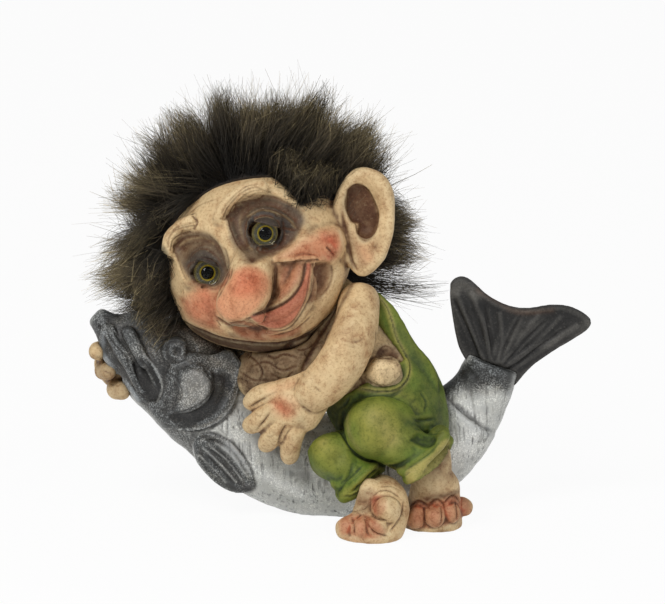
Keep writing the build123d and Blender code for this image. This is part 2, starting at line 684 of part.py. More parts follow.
# The wig is laid in four panels: crown, back and two sides
crown_cut_share = 0.80
back_cut_share = -0.85
crown_plane = Plane(head_spot(0, 0, crown_cut_share), z_dir=crown_axis)
back_plane = Plane(head_spot(0, back_cut_share, 0), z_dir=-face_axis)
middle_plane = Plane(head_spot(0, 0, 0), z_dir=side_axis)
hair_panels = {
    "hair_crown": [(crown_plane, Keep.TOP)],
    "hair_back": [(crown_plane, Keep.BOTTOM), (back_plane, Keep.TOP)],
    "hair_left": [(crown_plane, Keep.BOTTOM), (back_plane, Keep.BOTTOM), (middle_plane, Keep.TOP)],
    "hair_right": [(crown_plane, Keep.BOTTOM), (back_plane, Keep.BOTTOM), (middle_plane, Keep.BOTTOM)],
}
for label, cuts in hair_panels.items():
    with BuildPart() as cut_pile:
        add(pile.part)
        for plane, keep in cuts:
            split(bisect_by=plane, keep=keep)
    with BuildPart() as panel:
        add(cut_pile.part.solids().sort_by(SortBy.VOLUME)[-1])
    write(panel, label)
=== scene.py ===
import math

import bmesh
import bpy
import numpy as np
from mathutils import Matrix, Vector
from mathutils.bvhtree import BVHTree


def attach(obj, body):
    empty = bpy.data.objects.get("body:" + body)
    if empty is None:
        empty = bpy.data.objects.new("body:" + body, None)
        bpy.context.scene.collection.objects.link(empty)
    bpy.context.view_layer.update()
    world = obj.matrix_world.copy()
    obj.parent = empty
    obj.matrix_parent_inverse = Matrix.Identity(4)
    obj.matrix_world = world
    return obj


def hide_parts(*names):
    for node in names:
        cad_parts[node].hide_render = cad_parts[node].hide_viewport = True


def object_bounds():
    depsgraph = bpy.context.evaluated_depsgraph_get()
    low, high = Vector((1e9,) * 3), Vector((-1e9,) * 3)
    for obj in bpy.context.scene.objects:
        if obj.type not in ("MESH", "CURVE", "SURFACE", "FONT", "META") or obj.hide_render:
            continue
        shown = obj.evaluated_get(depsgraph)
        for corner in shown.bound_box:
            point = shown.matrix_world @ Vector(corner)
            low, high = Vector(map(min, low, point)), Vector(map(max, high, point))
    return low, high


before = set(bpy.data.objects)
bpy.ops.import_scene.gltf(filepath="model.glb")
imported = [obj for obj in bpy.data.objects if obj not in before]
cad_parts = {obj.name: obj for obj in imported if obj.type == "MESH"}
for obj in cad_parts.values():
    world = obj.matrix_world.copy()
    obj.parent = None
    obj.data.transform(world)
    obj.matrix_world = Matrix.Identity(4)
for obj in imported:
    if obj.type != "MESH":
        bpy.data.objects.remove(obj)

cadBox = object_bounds()
mm = 0.001
pixel = 0.33 * mm  # one pixel of the photograph at the object

camera = {"width": 665, "height": 604, "target": (-0.0028, 0, 0.0708), "elevation": 12, "distance": 3.0}


def sRgb(red, green, blue):  # a colour as an eye names it, to linear light
    return tuple((c / 255 / 12.92) if c <= 10 else ((c / 255 + 0.055) / 1.055) ** 2.4 for c in (red, green, blue))


colours = {name: sRgb(*tone) for name, tone in {
    "skin": (222, 193, 146), "pale": (232, 212, 168), "wash": (92, 58, 34), "deep": (38, 23, 15),
    "socket": (92, 74, 58), "ink": (40, 42, 46), "straw": (190, 166, 116), "blush": (206, 112, 76),
    "flush": (196, 84, 56), "peach": (222, 146, 106), "lip": (196, 116, 88), "lipDeep": (160, 84, 62),
    "mouth": (62, 30, 22), "rust": (168, 92, 58), "toe": (180, 84, 50), "brownSkin": (142, 98, 66),
    "earBrown": (104, 76, 52), "earthy": (108, 76, 52), "green": (98, 118, 40), "fern": (78, 92, 40),
    "lime": (156, 150, 64), "moss": (50, 62, 32), "mossDeep": (40, 42, 22), "trim": (204, 184, 116),
    "silver": (212, 212, 206), "white": (236, 236, 232), "iceBlue": (178, 184, 188), "greyGreen": (126, 128, 116),
    "underGrey": (104, 104, 98), "slate": (56, 54, 52), "coal": (36, 35, 34), "inkBlue": (40, 44, 58),
    "black": (24, 22, 20), "dryBrush": (156, 152, 144), "umber": (74, 50, 34), "noseTip": (240, 172, 128),
}.items()}


def addObject(name, data):
    made = bpy.data.objects.new(name, data)
    bpy.context.scene.collection.objects.link(made)
    return made


def asBuilt(shape):  # the mesh that an object's modifiers or bevel make
    return bpy.data.meshes.new_from_object(shape.evaluated_get(bpy.context.evaluated_depsgraph_get()))


def cutAway(bm, parts, place, normal, **side):  # cuts along a plane and closes the cut
    bmesh.ops.bisect_plane(bm, geom=parts, plane_co=place, plane_no=normal, **side)
    bmesh.ops.holes_fill(bm, edges=[e for e in bm.edges if e.is_boundary], sides=0)


def wholeOf(bm):
    return bm.verts[:] + bm.edges[:] + bm.faces[:]


def viewAxes():
    tilt = math.radians(camera["elevation"])
    back = Vector((0, -math.cos(tilt), math.sin(tilt)))
    rise = Vector((0, math.sin(tilt), math.cos(tilt)))
    return Vector((1, 0, 0)), rise, back


def eyePoint():
    return Vector(camera["target"]) + viewAxes()[2] * camera["distance"]


def photoRay(u, v):  # from the camera through a pixel of the photograph
    side, rise, back = viewAxes()
    right, down = (u - camera["width"] / 2) * pixel, (v - camera["height"] / 2) * pixel
    aim = Vector(camera["target"]) + side * right - rise * down
    return eyePoint(), (aim - eyePoint()).normalized()


def makeCamera():
    lens = bpy.data.cameras.new("photoCamera")
    lens.sensor_width = 36
    lens.lens = 36 * camera["distance"] / (camera["width"] * pixel)
    lens.clip_start, lens.clip_end = 0.1, 20
    view = addObject("photoCamera", lens)
    view.location = eyePoint()
    view.rotation_mode = "QUATERNION"
    view.rotation_quaternion = (-viewAxes()[2]).to_track_quat("-Z", "Y")
    bpy.context.scene.camera = view


def curveThrough(spots, step):  # a smooth run of points through the given ones
    spots = [np.array(s, float) for s in spots]
    if len(spots) == 1:
        return np.array(spots)
    ends = [2 * spots[0] - spots[1]] + spots + [2 * spots[-1] - spots[-2]]
    run = []
    for i in range(1, len(ends) - 2):
        a, b, c, d = ends[i - 1:i + 3]
        count = max(2, int(np.linalg.norm(c - b) / step))
        for t in np.arange(count) / count:
            run.append(0.5 * (2 * b + (c - a) * t + (2 * a - 5 * b + 4 * c - d) * t * t
                              + (3 * b - a - 3 * c + d) * t ** 3))
    run.append(spots[-1])
    return np.array(run)


def unevenness(points, size, seed):  # smooth random heights from -1 to 1, as wide as size
    spots = points / size
    cell = np.floor(spots).astype(np.int64)
    part = spots - cell
    part = part * part * (3 - 2 * part)
    total = np.zeros(len(points))
    for corner in np.ndindex(2, 2, 2):
        at = cell + np.array(corner)
        mixed = at[:, 0] * 73856093 ^ at[:, 1] * 19349663 ^ at[:, 2] * 83492791 ^ seed * 2654435
        mixed = (mixed * 1103515245 + 12345) ^ (mixed >> 13)
        value = (mixed & 0xFFFFFF) / 0x800000 - 1
        total += value * np.prod(np.where(corner, part, 1 - part), axis=1)
    return total


def photoSpots(points):  # where points show on the photograph
    side, rise, back = (np.array(a) for a in viewAxes())
    away = points - np.array(eyePoint())
    depth = -(away @ back)
    u = camera["width"] / 2 + (away @ side) / depth * camera["distance"] / pixel
    v = camera["height"] / 2 - (away @ rise) / depth * camera["distance"] / pixel
    return np.stack([u, v], 1)


def depthInside(spots, edge):  # how far inside a closed outline, below zero outside it
    place = spots[:, None]
    a, b = edge[:-1], edge[1:]
    run = b - a
    along = (((place - a) * run).sum(2) / ((run ** 2).sum(1) + 1e-9)).clip(0, 1)
    gap = np.linalg.norm(place - a - along[..., None] * run, axis=2).min(1)
    x, y = place[..., 0], place[..., 1]
    crossed = ((a[:, 1] > y) != (b[:, 1] > y)) & (x < run[:, 0] * (y - a[:, 1]) / (run[:, 1] + 1e-9) + a[:, 0])
    return np.where(crossed.sum(1) % 2, gap, -gap)


clayMost = 196000  # triangles of one piece
# how strokes are shaped, in widths of the stroke or as shares of its amount
strokes = {
    "reach": 3, "tracing": 1.5,  # how far a stroke works, and the pixels between the points of its path
    "squareGain": 2, "squareFrom": 0.6,  # fades where the skin turns away from the side the path lies on
    "taperGain": 5, "taperFrom": 0.25,  # fades towards its ends
    "groove": 0.6, "grooveFall": 1.4, "bankPlace": 1.8, "bankWidth": 0.9, "bank": 0.12, "grimeWidth": 0.8, "grime": 0.8,
    "under": 0.4, "underSink": 0.5, "underEdge": 0.1, "underGrime": 0.9,
}
# hollows: a share, the rounds of smoothing that find them, and their depth in millimetres, the widest being a painted
# shade in the broad hollows; the others: a share, a size in millimetres and a seed
wearAndShade = {"hollows": [(0.45, 5, 0.045), (0.55, 28, 0.32), (0.5, 120, 1.1)], "wiped": 0.85,
        "wiping": [(0.35, 2.2, 5), (0.25, 0.8, 6)], "mottle": [(0.05, 4, 7), (0.04, 1.3, 8)]}


def reading(word):  # a number, a spot as right,down, or a name
    if word[0].isalpha():
        return word
    numbers = tuple(float(number) for number in word.split(","))
    return numbers if "," in word else numbers[0]


def readStrokes(table):
    # each row: a kind, its width in pixels and its amount in millimetres or as a share, then for some a colour, a depth
    # of wash or a spot; and after the colon the spots of its line or outline on the photograph, with rows that run on
    rows = []
    for line in table.splitlines():
        line = line.split("#")[0]
        if ":" in line:
            rows.append(line.split(":"))
        elif line.strip():
            rows[-1][1] += line
    for head, spots in rows:
        kind, width, amount, *extra = [reading(word) for word in head.split()]
        yield kind, [reading(spot) for spot in spots.split()], width, amount, extra[0] if extra else None


class Clay:
    # one sculpted member as points and paint, worked with strokes and patches placed on the photograph
    def __init__(self, name, nodes, grain, ground, relax=6, more=None):
        self.name, self.nodes, self.ground = name, nodes, ground
        bm = bmesh.new()
        for node in nodes:
            bm.from_mesh(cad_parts[node].data)
        bmesh.ops.remove_doubles(bm, verts=bm.verts, dist=1e-6)
        self.mass(bm, grain, relax, more)

    def mass(self, bm, grain, relax, more=None):  # one closed skin round all that is in the bmesh
        if more:
            more(bm)
        rough = bpy.data.meshes.new(self.name + "Rough")
        bm.to_mesh(rough)
        bm.free()
        lump = addObject(self.name + "Rough", rough)
        remesh = lump.modifiers.new("grain", "REMESH")
        remesh.mode, remesh.voxel_size = "VOXEL", grain
        self.mesh = asBuilt(lump)
        bpy.data.objects.remove(lump)
        bpy.data.meshes.remove(rough)
        count = len(self.mesh.vertices)
        self.points = np.empty(count * 3)
        self.mesh.vertices.foreach_get("co", self.points)
        self.points = self.points.reshape(-1, 3)
        edges = np.empty(len(self.mesh.edges) * 2, int)
        self.mesh.edges.foreach_get("vertices", edges)
        self.edges = edges.reshape(-1, 2)
        self.valence = np.bincount(self.edges.ravel(), minlength=count).clip(1)
        self.paint = np.tile(np.array(colours[self.ground]), (count, 1))
        self.mask = np.zeros(count)
        self.washed = np.zeros(count)
        self.kept = np.zeros(count)
        self.relax(relax)
        self.settle()

    def rework(self, grain, relax, more):  # adds shapes to the member and skins it again
        bm = bmesh.new()
        bm.from_mesh(self.mesh)
        bpy.data.meshes.remove(self.mesh)
        self.mass(bm, grain, relax, more)

    def spread(self, values):  # the mean of each point's neighbours
        a, b = self.edges.T
        count = len(self.points)
        if values.ndim == 1:
            return (np.bincount(a, values[b], count) + np.bincount(b, values[a], count)) / self.valence
        return np.stack([self.spread(values[:, i]) for i in range(values.shape[1])], 1)

    def relax(self, rounds, share=0.6):
        for _ in range(rounds):
            self.points += share * (self.spread(self.points) - self.points)

    def roughen(self, rows):  # the unevenness of hand modelling, each row a size, a depth and a seed
        for size, depth, seed in rows:
            self.points += self.normals * (unevenness(self.points, size * mm, seed) * depth * mm)[:, None]
            self.settle()

    def settle(self):  # puts the points in the mesh and reads its normals
        self.mesh.vertices.foreach_set("co", self.points.astype(np.float32).ravel())
        self.mesh.update()
        flat = np.empty(len(self.points) * 3, np.float32)
        self.mesh.vertex_normals.foreach_get("vector", flat)
        self.normals = flat.reshape(-1, 3).astype(float)

    def tree(self):
        bm = bmesh.new()
        bm.from_mesh(self.mesh)
        found = BVHTree.FromBMesh(bm)
        bm.free()
        return found

    def trace(self, pixels, tree):  # where a line drawn on the photograph falls on this member
        hits, facing = [], []
        for u, v in curveThrough(pixels, strokes["tracing"]):
            place, normal, _, _ = tree.ray_cast(*photoRay(u, v))
            if place is not None:
                hits.append(place)
                facing.append(normal)
        return np.array(hits), np.array(facing)

    def near(self, path, reach):  # points within reach of a path, how far, and by which part of it
        low, high = path.min(0) - reach, path.max(0) + reach
        index = np.nonzero(((self.points > low) & (self.points < high)).all(1))[0]
        gaps = np.linalg.norm(self.points[index, None, :] - path[None, :, :], axis=2)
        step = gaps.argmin(1)
        gap = gaps[np.arange(len(index)), step]
        keep = gap < reach
        return index[keep], gap[keep], step[keep]

    def push(self, index, amount):
        self.points[index] += self.normals[index] * (amount * mm)[:, None]
        self.settle()

    def grime(self, index, amount):
        self.washed[index] = np.maximum(self.washed[index], amount)

    def tint(self, index, share, colour):
        share = share.clip(0, 1)[:, None]
        self.paint[index] = self.paint[index] * (1 - share) + np.array(colours[colour]) * share

    def stroke(self, kind, pixels, width, amount, extra=None, tree=None, mirror=False, facing=None, path=None):
        if path is None:
            path, facing = self.trace(pixels, tree)
            if not len(path):
                print("missed", self.name, kind, pixels[0])
                return
        wide = width * pixel
        index, gap, step = self.near(path, wide * strokes["reach"])
        same = (self.normals[index] * facing[step]).sum(1)
        square = np.clip(same * strokes["squareGain"] + strokes["squareFrom"], 0, 1)  # not through to the far face
        fall = np.exp(-((gap / wide) ** 2)) * square
        ends = step / max(1, len(path) - 1)
        taper = np.clip(np.minimum(ends, 1 - ends) * strokes["taperGain"] + strokes["taperFrom"], 0, 1)
        if kind == "raise":
            self.push(index, fall * amount)
        elif kind == "press":
            self.push(index, -fall * amount)
            self.grime(index, fall * (extra or 0))
        elif kind == "crease":  # a groove between two soft banks, dying away at its ends
            groove = np.exp(-((gap / (strokes["groove"] * wide)) ** strokes["grooveFall"]))
            banks = np.exp(-(((gap - strokes["bankPlace"] * wide) / (strokes["bankWidth"] * wide)) ** 2))
            self.push(index, taper * square * amount * (strokes["bank"] * banks - groove))
            dirt = np.exp(-((gap / (strokes["grimeWidth"] * wide)) ** 2)) * taper * square
            self.grime(index, dirt * (strokes["grime"] if extra is None else extra))
        elif kind == "lap":  # a fold that stands over its neighbour, on the side of the pixel given
            toward, _ = self.trace([extra], tree)
            middle = path[len(path) // 2]
            along = np.gradient(path, axis=0) if len(path) > 1 else np.ones((1, 3))
            across = np.cross(along, facing)
            across /= np.linalg.norm(across, axis=1)[:, None] + 1e-12
            if len(toward) and (across[len(path) // 2] * (toward[0] - middle)).sum() < 0:
                across = -across
            side = ((self.points[index] - path[step]) * across[step]).sum(1)
            under = np.exp(-((gap / (strokes["under"] * wide)) ** 2)) * taper * square
            self.push(index, np.where(side > 0, fall * amount * taper, -strokes["underSink"] * amount * under))
            self.grime(index, np.where(side < strokes["underEdge"] * wide, under, 0) * strokes["underGrime"])
        elif kind == "tint":
            self.tint(index, fall * amount, extra)
        if mirror:  # the same on the far side of the fish's middle plane
            flip = np.array((1, -1, 1))
            self.stroke(kind, pixels, width, amount, extra, tree, False, facing * flip, path * flip)

    def onPhoto(self, flip):  # where each point shows on the photograph, and how squarely
        turned = np.array((1, -1, 1)) if flip else np.ones(3)
        return photoSpots(self.points * turned), (self.normals * turned) @ np.array(viewAxes()[2])

    def patch(self, kind, outline, soft, amount, extra=None, mirror=False, flip=False):
        spots, facing = self.onPhoto(flip)
        edge = curveThrough(outline + outline[:1], 2.5)
        low, high = edge.min(0) - soft, edge.max(0) + soft
        index = np.nonzero(((spots > low) & (spots < high)).all(1) & (facing > 0.02))[0]
        if len(index):
            inside = depthInside(spots[index], edge)
            fall = ((inside + soft) / (2 * soft)).clip(0, 1)
            fall = fall * fall * (3 - 2 * fall) * np.clip(facing[index] * 3, 0, 1)
            if kind == "swell":
                self.push(index, fall * amount)
            elif kind == "sink":
                self.push(index, -fall * amount)
                self.grime(index, fall * (extra or 0))
            elif kind == "fill":
                self.tint(index, fall * amount, extra)
            elif kind == "cover":  # paint that isn't rubbed pale later
                self.kept[index] = np.maximum(self.kept[index], amount * fall)
        else:
            print("missed", self.name, kind, outline[0])
        if mirror:
            self.patch(kind, outline, soft, amount, extra, False, True)

    def work(self, *groups, mirror=False):  # groups of strokes, each group on the shape the last one left
        for group in groups:
            tree = self.tree()
            for kind, pixels, width, amount, extra in readStrokes(group):
                if kind in ("swell", "sink", "fill", "cover"):
                    self.patch(kind, pixels, width, amount, extra, mirror)
                else:
                    self.stroke(kind, pixels, width, amount, extra, tree, mirror)

    def bore(self, centre, way, radius, depth):  # an open seat, down to a depth behind its centre
        away = self.points - np.array(centre)
        along = away @ np.array(way)
        off = np.linalg.norm(away - along[:, None] * np.array(way), axis=1)
        down = (off < radius) & (along > -depth)
        self.points[down] -= (along[down] + depth)[:, None] * np.array(way)
        self.settle()

    def hollows(self, rounds, scale):  # from -1 on crests to 1 in creases
        smooth = self.points.copy()
        for _ in range(rounds):
            smooth += 0.7 * (self.spread(smooth) - smooth)
        return (((smooth - self.points) * self.normals).sum(1) / (scale * mm)).clip(-1, 1)

    def blotches(self, rows):  # unevenness of several sizes together
        return sum(share * unevenness(self.points, size * mm, seed) for share, size, seed in rows)

    def ageingAndShade(self, wash, strength, light, lightColour):
        # brown wash left in the creases and a painted shade in the broad hollows, broken up by hand wiping, and the
        # crests rubbed pale
        deep = sum(share * self.hollows(rounds, scale) for share, rounds, scale in wearAndShade["hollows"])
        wiped = wearAndShade["wiped"] + self.blotches(wearAndShade["wiping"])
        dark = (np.maximum(np.clip(deep, 0, 1), self.washed * 1.05) * wiped).clip(0, 1)[:, None] * strength
        crest = (np.clip(-deep, 0, 1) * (1 - self.kept))[:, None] * light
        self.paint = self.paint * (1 - dark) + np.array(colours[wash]) * dark
        self.paint = self.paint * (1 - crest) + np.array(colours[lightColour]) * crest
        self.paint *= (1 + self.blotches(wearAndShade["mottle"]))[:, None]

    def shadow(self, trees, reach, colour, strength):  # painted shadow: darker colour where another member is close
        index, share = [], []
        for i, place in enumerate(self.points):
            gaps = [hit[3] for hit in (tree.find_nearest(place, reach * mm) for tree in trees) if hit[0] is not None]
            if gaps:
                index.append(i)
                share.append((1 - min(gaps) / (reach * mm)) ** 1.4 * strength)
        if index:
            self.tint(np.array(index), np.array(share), colour)

    def triangles(self):
        return sum(len(face.vertices) - 2 for face in self.mesh.polygons)

    def fire(self, material, slot):  # the finished piece
        self.settle()
        layer = self.mesh.color_attributes.new("paint", "FLOAT_COLOR", "POINT")
        rgba = np.concatenate([self.paint, self.mask[:, None]], 1).clip(0, 1).astype(np.float32)
        layer.data.foreach_set("color", rgba.ravel())
        self.mesh.polygons.foreach_set("use_smooth", np.ones(len(self.mesh.polygons), bool))
        self.mesh.name = self.name
        piece = addObject(self.name, self.mesh)
        count = self.triangles()
        if count > clayMost:  # thinned where it is flat
            thin = piece.modifiers.new("thin", "DECIMATE")
            thin.ratio = clayMost / count
            self.mesh = asBuilt(piece)
            self.mesh.name = self.name
            piece.modifiers.clear()
            piece.data = self.mesh
            print(self.name, "thinned from", count, "triangles")
        self.mesh.materials.clear()
        self.mesh.materials.append(material)
        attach(piece, "root")
        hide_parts(*self.nodes)
        print(self.name, self.triangles(), "triangles")


class Wire:
    # a node's output that can be used in sums
    def __init__(self, finish, socket):
        self.finish, self.socket = finish, socket

    def sum(self, operation, *others):
        return self.finish.node("ShaderNodeMath", {"operation": operation}, dict(enumerate(others)))

    def __add__(self, other): return self.sum("ADD", self, other)
    def __radd__(self, other): return self.sum("ADD", other, self)
    def __sub__(self, other): return self.sum("SUBTRACT", self, other)
    def __rsub__(self, other): return self.sum("SUBTRACT", other, self)
    def __mul__(self, other): return self.sum("MULTIPLY", self, other)
    def __rmul__(self, other): return self.sum("MULTIPLY", other, self)


class Finish:
    def __init__(self, name):
        self.material = bpy.data.materials.new(name)
        self.material.use_nodes = True
        self.tree = self.material.node_tree
        self.shader = self.tree.nodes["Principled BSDF"]

    def node(self, kind, settings=None, inputs=None, output=0):
        made = self.tree.nodes.new(kind)
        for key, value in (settings or {}).items():
            setattr(made, key, value)
        for key, value in (inputs or {}).items():
            self.plug(made.inputs[key], value)
        return Wire(self, made.outputs[output])

    def plug(self, socket, value):
        if isinstance(value, Wire):
            self.tree.links.new(value.socket, socket)
        else:
            socket.default_value = value

    def mix(self, share, first, second, blend="MIX"):
        return self.node("ShaderNodeMix", {"data_type": "RGBA", "blend_type": blend},
                         {0: share, 6: first, 7: second}, 2)

    def band(self, value, low, high):  # 0 below low, 1 above high
        return self.node("ShaderNodeMapRange", {"interpolation_type": "SMOOTHSTEP"},
                         {"Value": value, "From Min": low, "From Max": high})

    def place(self, scale=(1, 1, 1), turn=(0, 0, 0)):
        spot = self.node("ShaderNodeTexCoord", output="Object")
        return self.node("ShaderNodeMapping", None, {"Vector": spot, "Rotation": turn, "Scale": scale})

    def noise(self, scale, detail=4, rough=0.55, place=None, warp=0.0):
        return self.node("ShaderNodeTexNoise", None, {"Vector": place or self.place(), "Scale": scale, "Detail": detail,
                                                     "Roughness": rough, "Distortion": warp})

    def set(self, **inputs):
        for key, value in inputs.items():
            name = {"colour": "Base Color", "roughness": "Roughness", "metallic": "Metallic", "normal": "Normal",
                    "specular": "Specular IOR Level", "ior": "IOR", "transmission": "Transmission Weight",
                    "shine": "Specular Tint"}[key]
            self.plug(self.shader.inputs[name], value)
        return self.material


def paintedCasting(name, settings):
    # matt paint on a cast body: mottling, a fine crackle that holds the wash, specks and a slightly rough skin
    f = Finish(name)
    paint = f.node("ShaderNodeAttribute", {"attribute_name": "paint"})
    mottle = f.noise(settings["mottleScale"], 6, 0.62)
    fine = f.noise(settings["fineScale"], 5, 0.7)
    crackle = f.node("ShaderNodeTexVoronoi", {"feature": "DISTANCE_TO_EDGE"},
                     {"Vector": f.place(), "Scale": settings["crackleScale"], "Randomness": 1.0})
    crack = (1 - f.band(crackle, 0.0, 0.05)) * f.band(mottle, 0.5, 0.68) * settings["crackle"]
    dirty = f.band(mottle, 0.42, 0.75) * settings["mottle"]
    tone = f.mix(dirty, paint, (*settings["wash"], 1), "MULTIPLY")
    tone = f.mix(crack, tone, (*settings["wash"], 1), "MULTIPLY")
    speck = f.band(f.noise(settings["speckScale"], 2, 0.4), 0.66, 0.72) * settings["speck"]
    tone = f.mix(speck, tone, (*settings["wash"], 1), "MULTIPLY")
    pores = (1 - f.band(fine, 0.34, 0.52)) * settings["pores"]
    tone = f.mix(pores, tone, (*settings["wash"], 1), "MULTIPLY")
    grit = f.band(fine, 0.56, 0.74) * settings["grit"]
    tone = f.mix(grit, tone, (*settings["light"], 1))
    height = fine * 0.5 + mottle * 0.6 - crack * 0.6
    bump = f.node("ShaderNodeBump", None, {"Strength": settings["bump"], "Distance": 0.0006, "Height": height})
    return f.set(colour=tone, roughness=f.band(mottle, 0.2, 0.9) * 0.25 + settings["roughness"], normal=bump,
                 specular=0.35)


skinFinish = {"mottleScale": 190, "fineScale": 1100, "crackleScale": 420, "crackle": 0.6, "mottle": 0.55, "grit": 0.2,
              "pores": 0.45, "speckScale": 2100, "speck": 0.4, "bump": 0.5, "roughness": 0.5,
              "wash": sRgb(176, 128, 88), "light": colours["pale"]}
chestFinish = dict(skinFinish, crackle=0.95, crackleScale=290, mottle=0.8, mottleScale=240, wash=sRgb(120, 84, 56))
clothFinish = dict(skinFinish, mottleScale=220, fineScale=1200, crackleScale=500, crackle=0.2, mottle=0.5, grit=0.22,
                   pores=0.4, speckScale=1900, wash=sRgb(120, 146, 84), light=colours["lime"])
slateFinish = dict(clothFinish, mottleScale=260, fineScale=1500, crackleScale=600, crackle=0.1, speckScale=1700,
                   roughness=0.42, wash=sRgb(90, 90, 92), light=colours["dryBrush"])


def fishPaint(name, settings):
    # slate with silver rubbed over its grain, and the pearl side with scratched scale marks
    f = Finish(name)
    paint = f.node("ShaderNodeAttribute", {"attribute_name": "paint"})
    pearl = f.node("ShaderNodeAttribute", {"attribute_name": "paint"}, output="Alpha")
    mottle = f.noise(240, 6, 0.6)
    fine = f.noise(1900, 4, 0.75)
    lines = None
    for turn in settings["scratchTurns"]:
        place = f.place((1, 1, settings["scratchStretch"]), (0, math.radians(turn), 0))
        scratched = f.band(f.noise(settings["scratchScale"], 2, 0.5, place), 0.60, 0.66)
        lines = scratched if lines is None else lines + scratched
    lines = lines * f.band(mottle, 0.36, 0.56) * settings["scratch"] * pearl
    tone = f.mix(f.band(mottle, 0.45, 0.8) * 0.3 * pearl, paint, (*colours["iceBlue"], 1))
    tone = f.mix(lines, tone, (*colours["slate"], 1))
    rubbed = f.band(fine, 0.47, 0.62) * f.band(f.noise(150, 4, 0.6), 0.3, 0.6) * settings["rub"]
    tone = f.mix(1 - pearl * 0.75, tone, f.mix(rubbed, (0.27, 0.27, 0.26, 1), (2.6, 2.6, 2.53, 1)), "MULTIPLY")
    bump = f.node("ShaderNodeBump", None, {"Strength": 0.45, "Distance": 0.0005,
                                           "Height": fine * 0.5 + mottle * 0.4 - lines})
    return f.set(colour=tone, roughness=f.band(mottle, 0.2, 0.9) * 0.2 + 0.36, metallic=pearl * 0.25, normal=bump)


fishFinish = {"scratchTurns": (38, -42, 12), "scratchScale": 760, "scratchStretch": 0.10, "scratch": 0.4, "rub": 0.9}


def furFinish():
    f = Finish("wildFur")
    paint = f.node("ShaderNodeAttribute", {"attribute_name": "paint"})
    streak = f.noise(900, 2, 0.5)
    tone = f.mix(f.band(streak, 0.3, 0.7) * 0.3, paint, (0.006, 0.005, 0.004, 1))
    return f.set(colour=tone, roughness=f.band(streak, 0.2, 0.8) * 0.2 + 0.42, specular=0.25)


def hideFinish():
    f = Finish("wigHide")
    grain = f.noise(1400, 5, 0.6)
    tone = f.mix(grain, (0.012, 0.008, 0.006, 1), (0.03, 0.022, 0.016, 1))
    bump = f.node("ShaderNodeBump", None, {"Strength": 0.5, "Distance": 0.0004, "Height": grain})
    return f.set(colour=tone, roughness=f.band(grain, 0.2, 0.8) * 0.2 + 0.7, normal=bump)


headCentre = Vector((-26.07, -6.27, 85.6)) * mm
headAxes = {"side": Vector((0.797, -0.290, 0.530)) * 33 * mm, "face": Vector((-0.342, -0.940, 0)) * 27.5 * mm,
            "crown": Vector((-0.498, 0.181, 0.848)) * 32 * mm}


def headSpot(side, face, crown):  # a place on the head, as shares of its half sizes
    return headCentre + headAxes["side"] * side + headAxes["face"] * face + headAxes["crown"] * crown


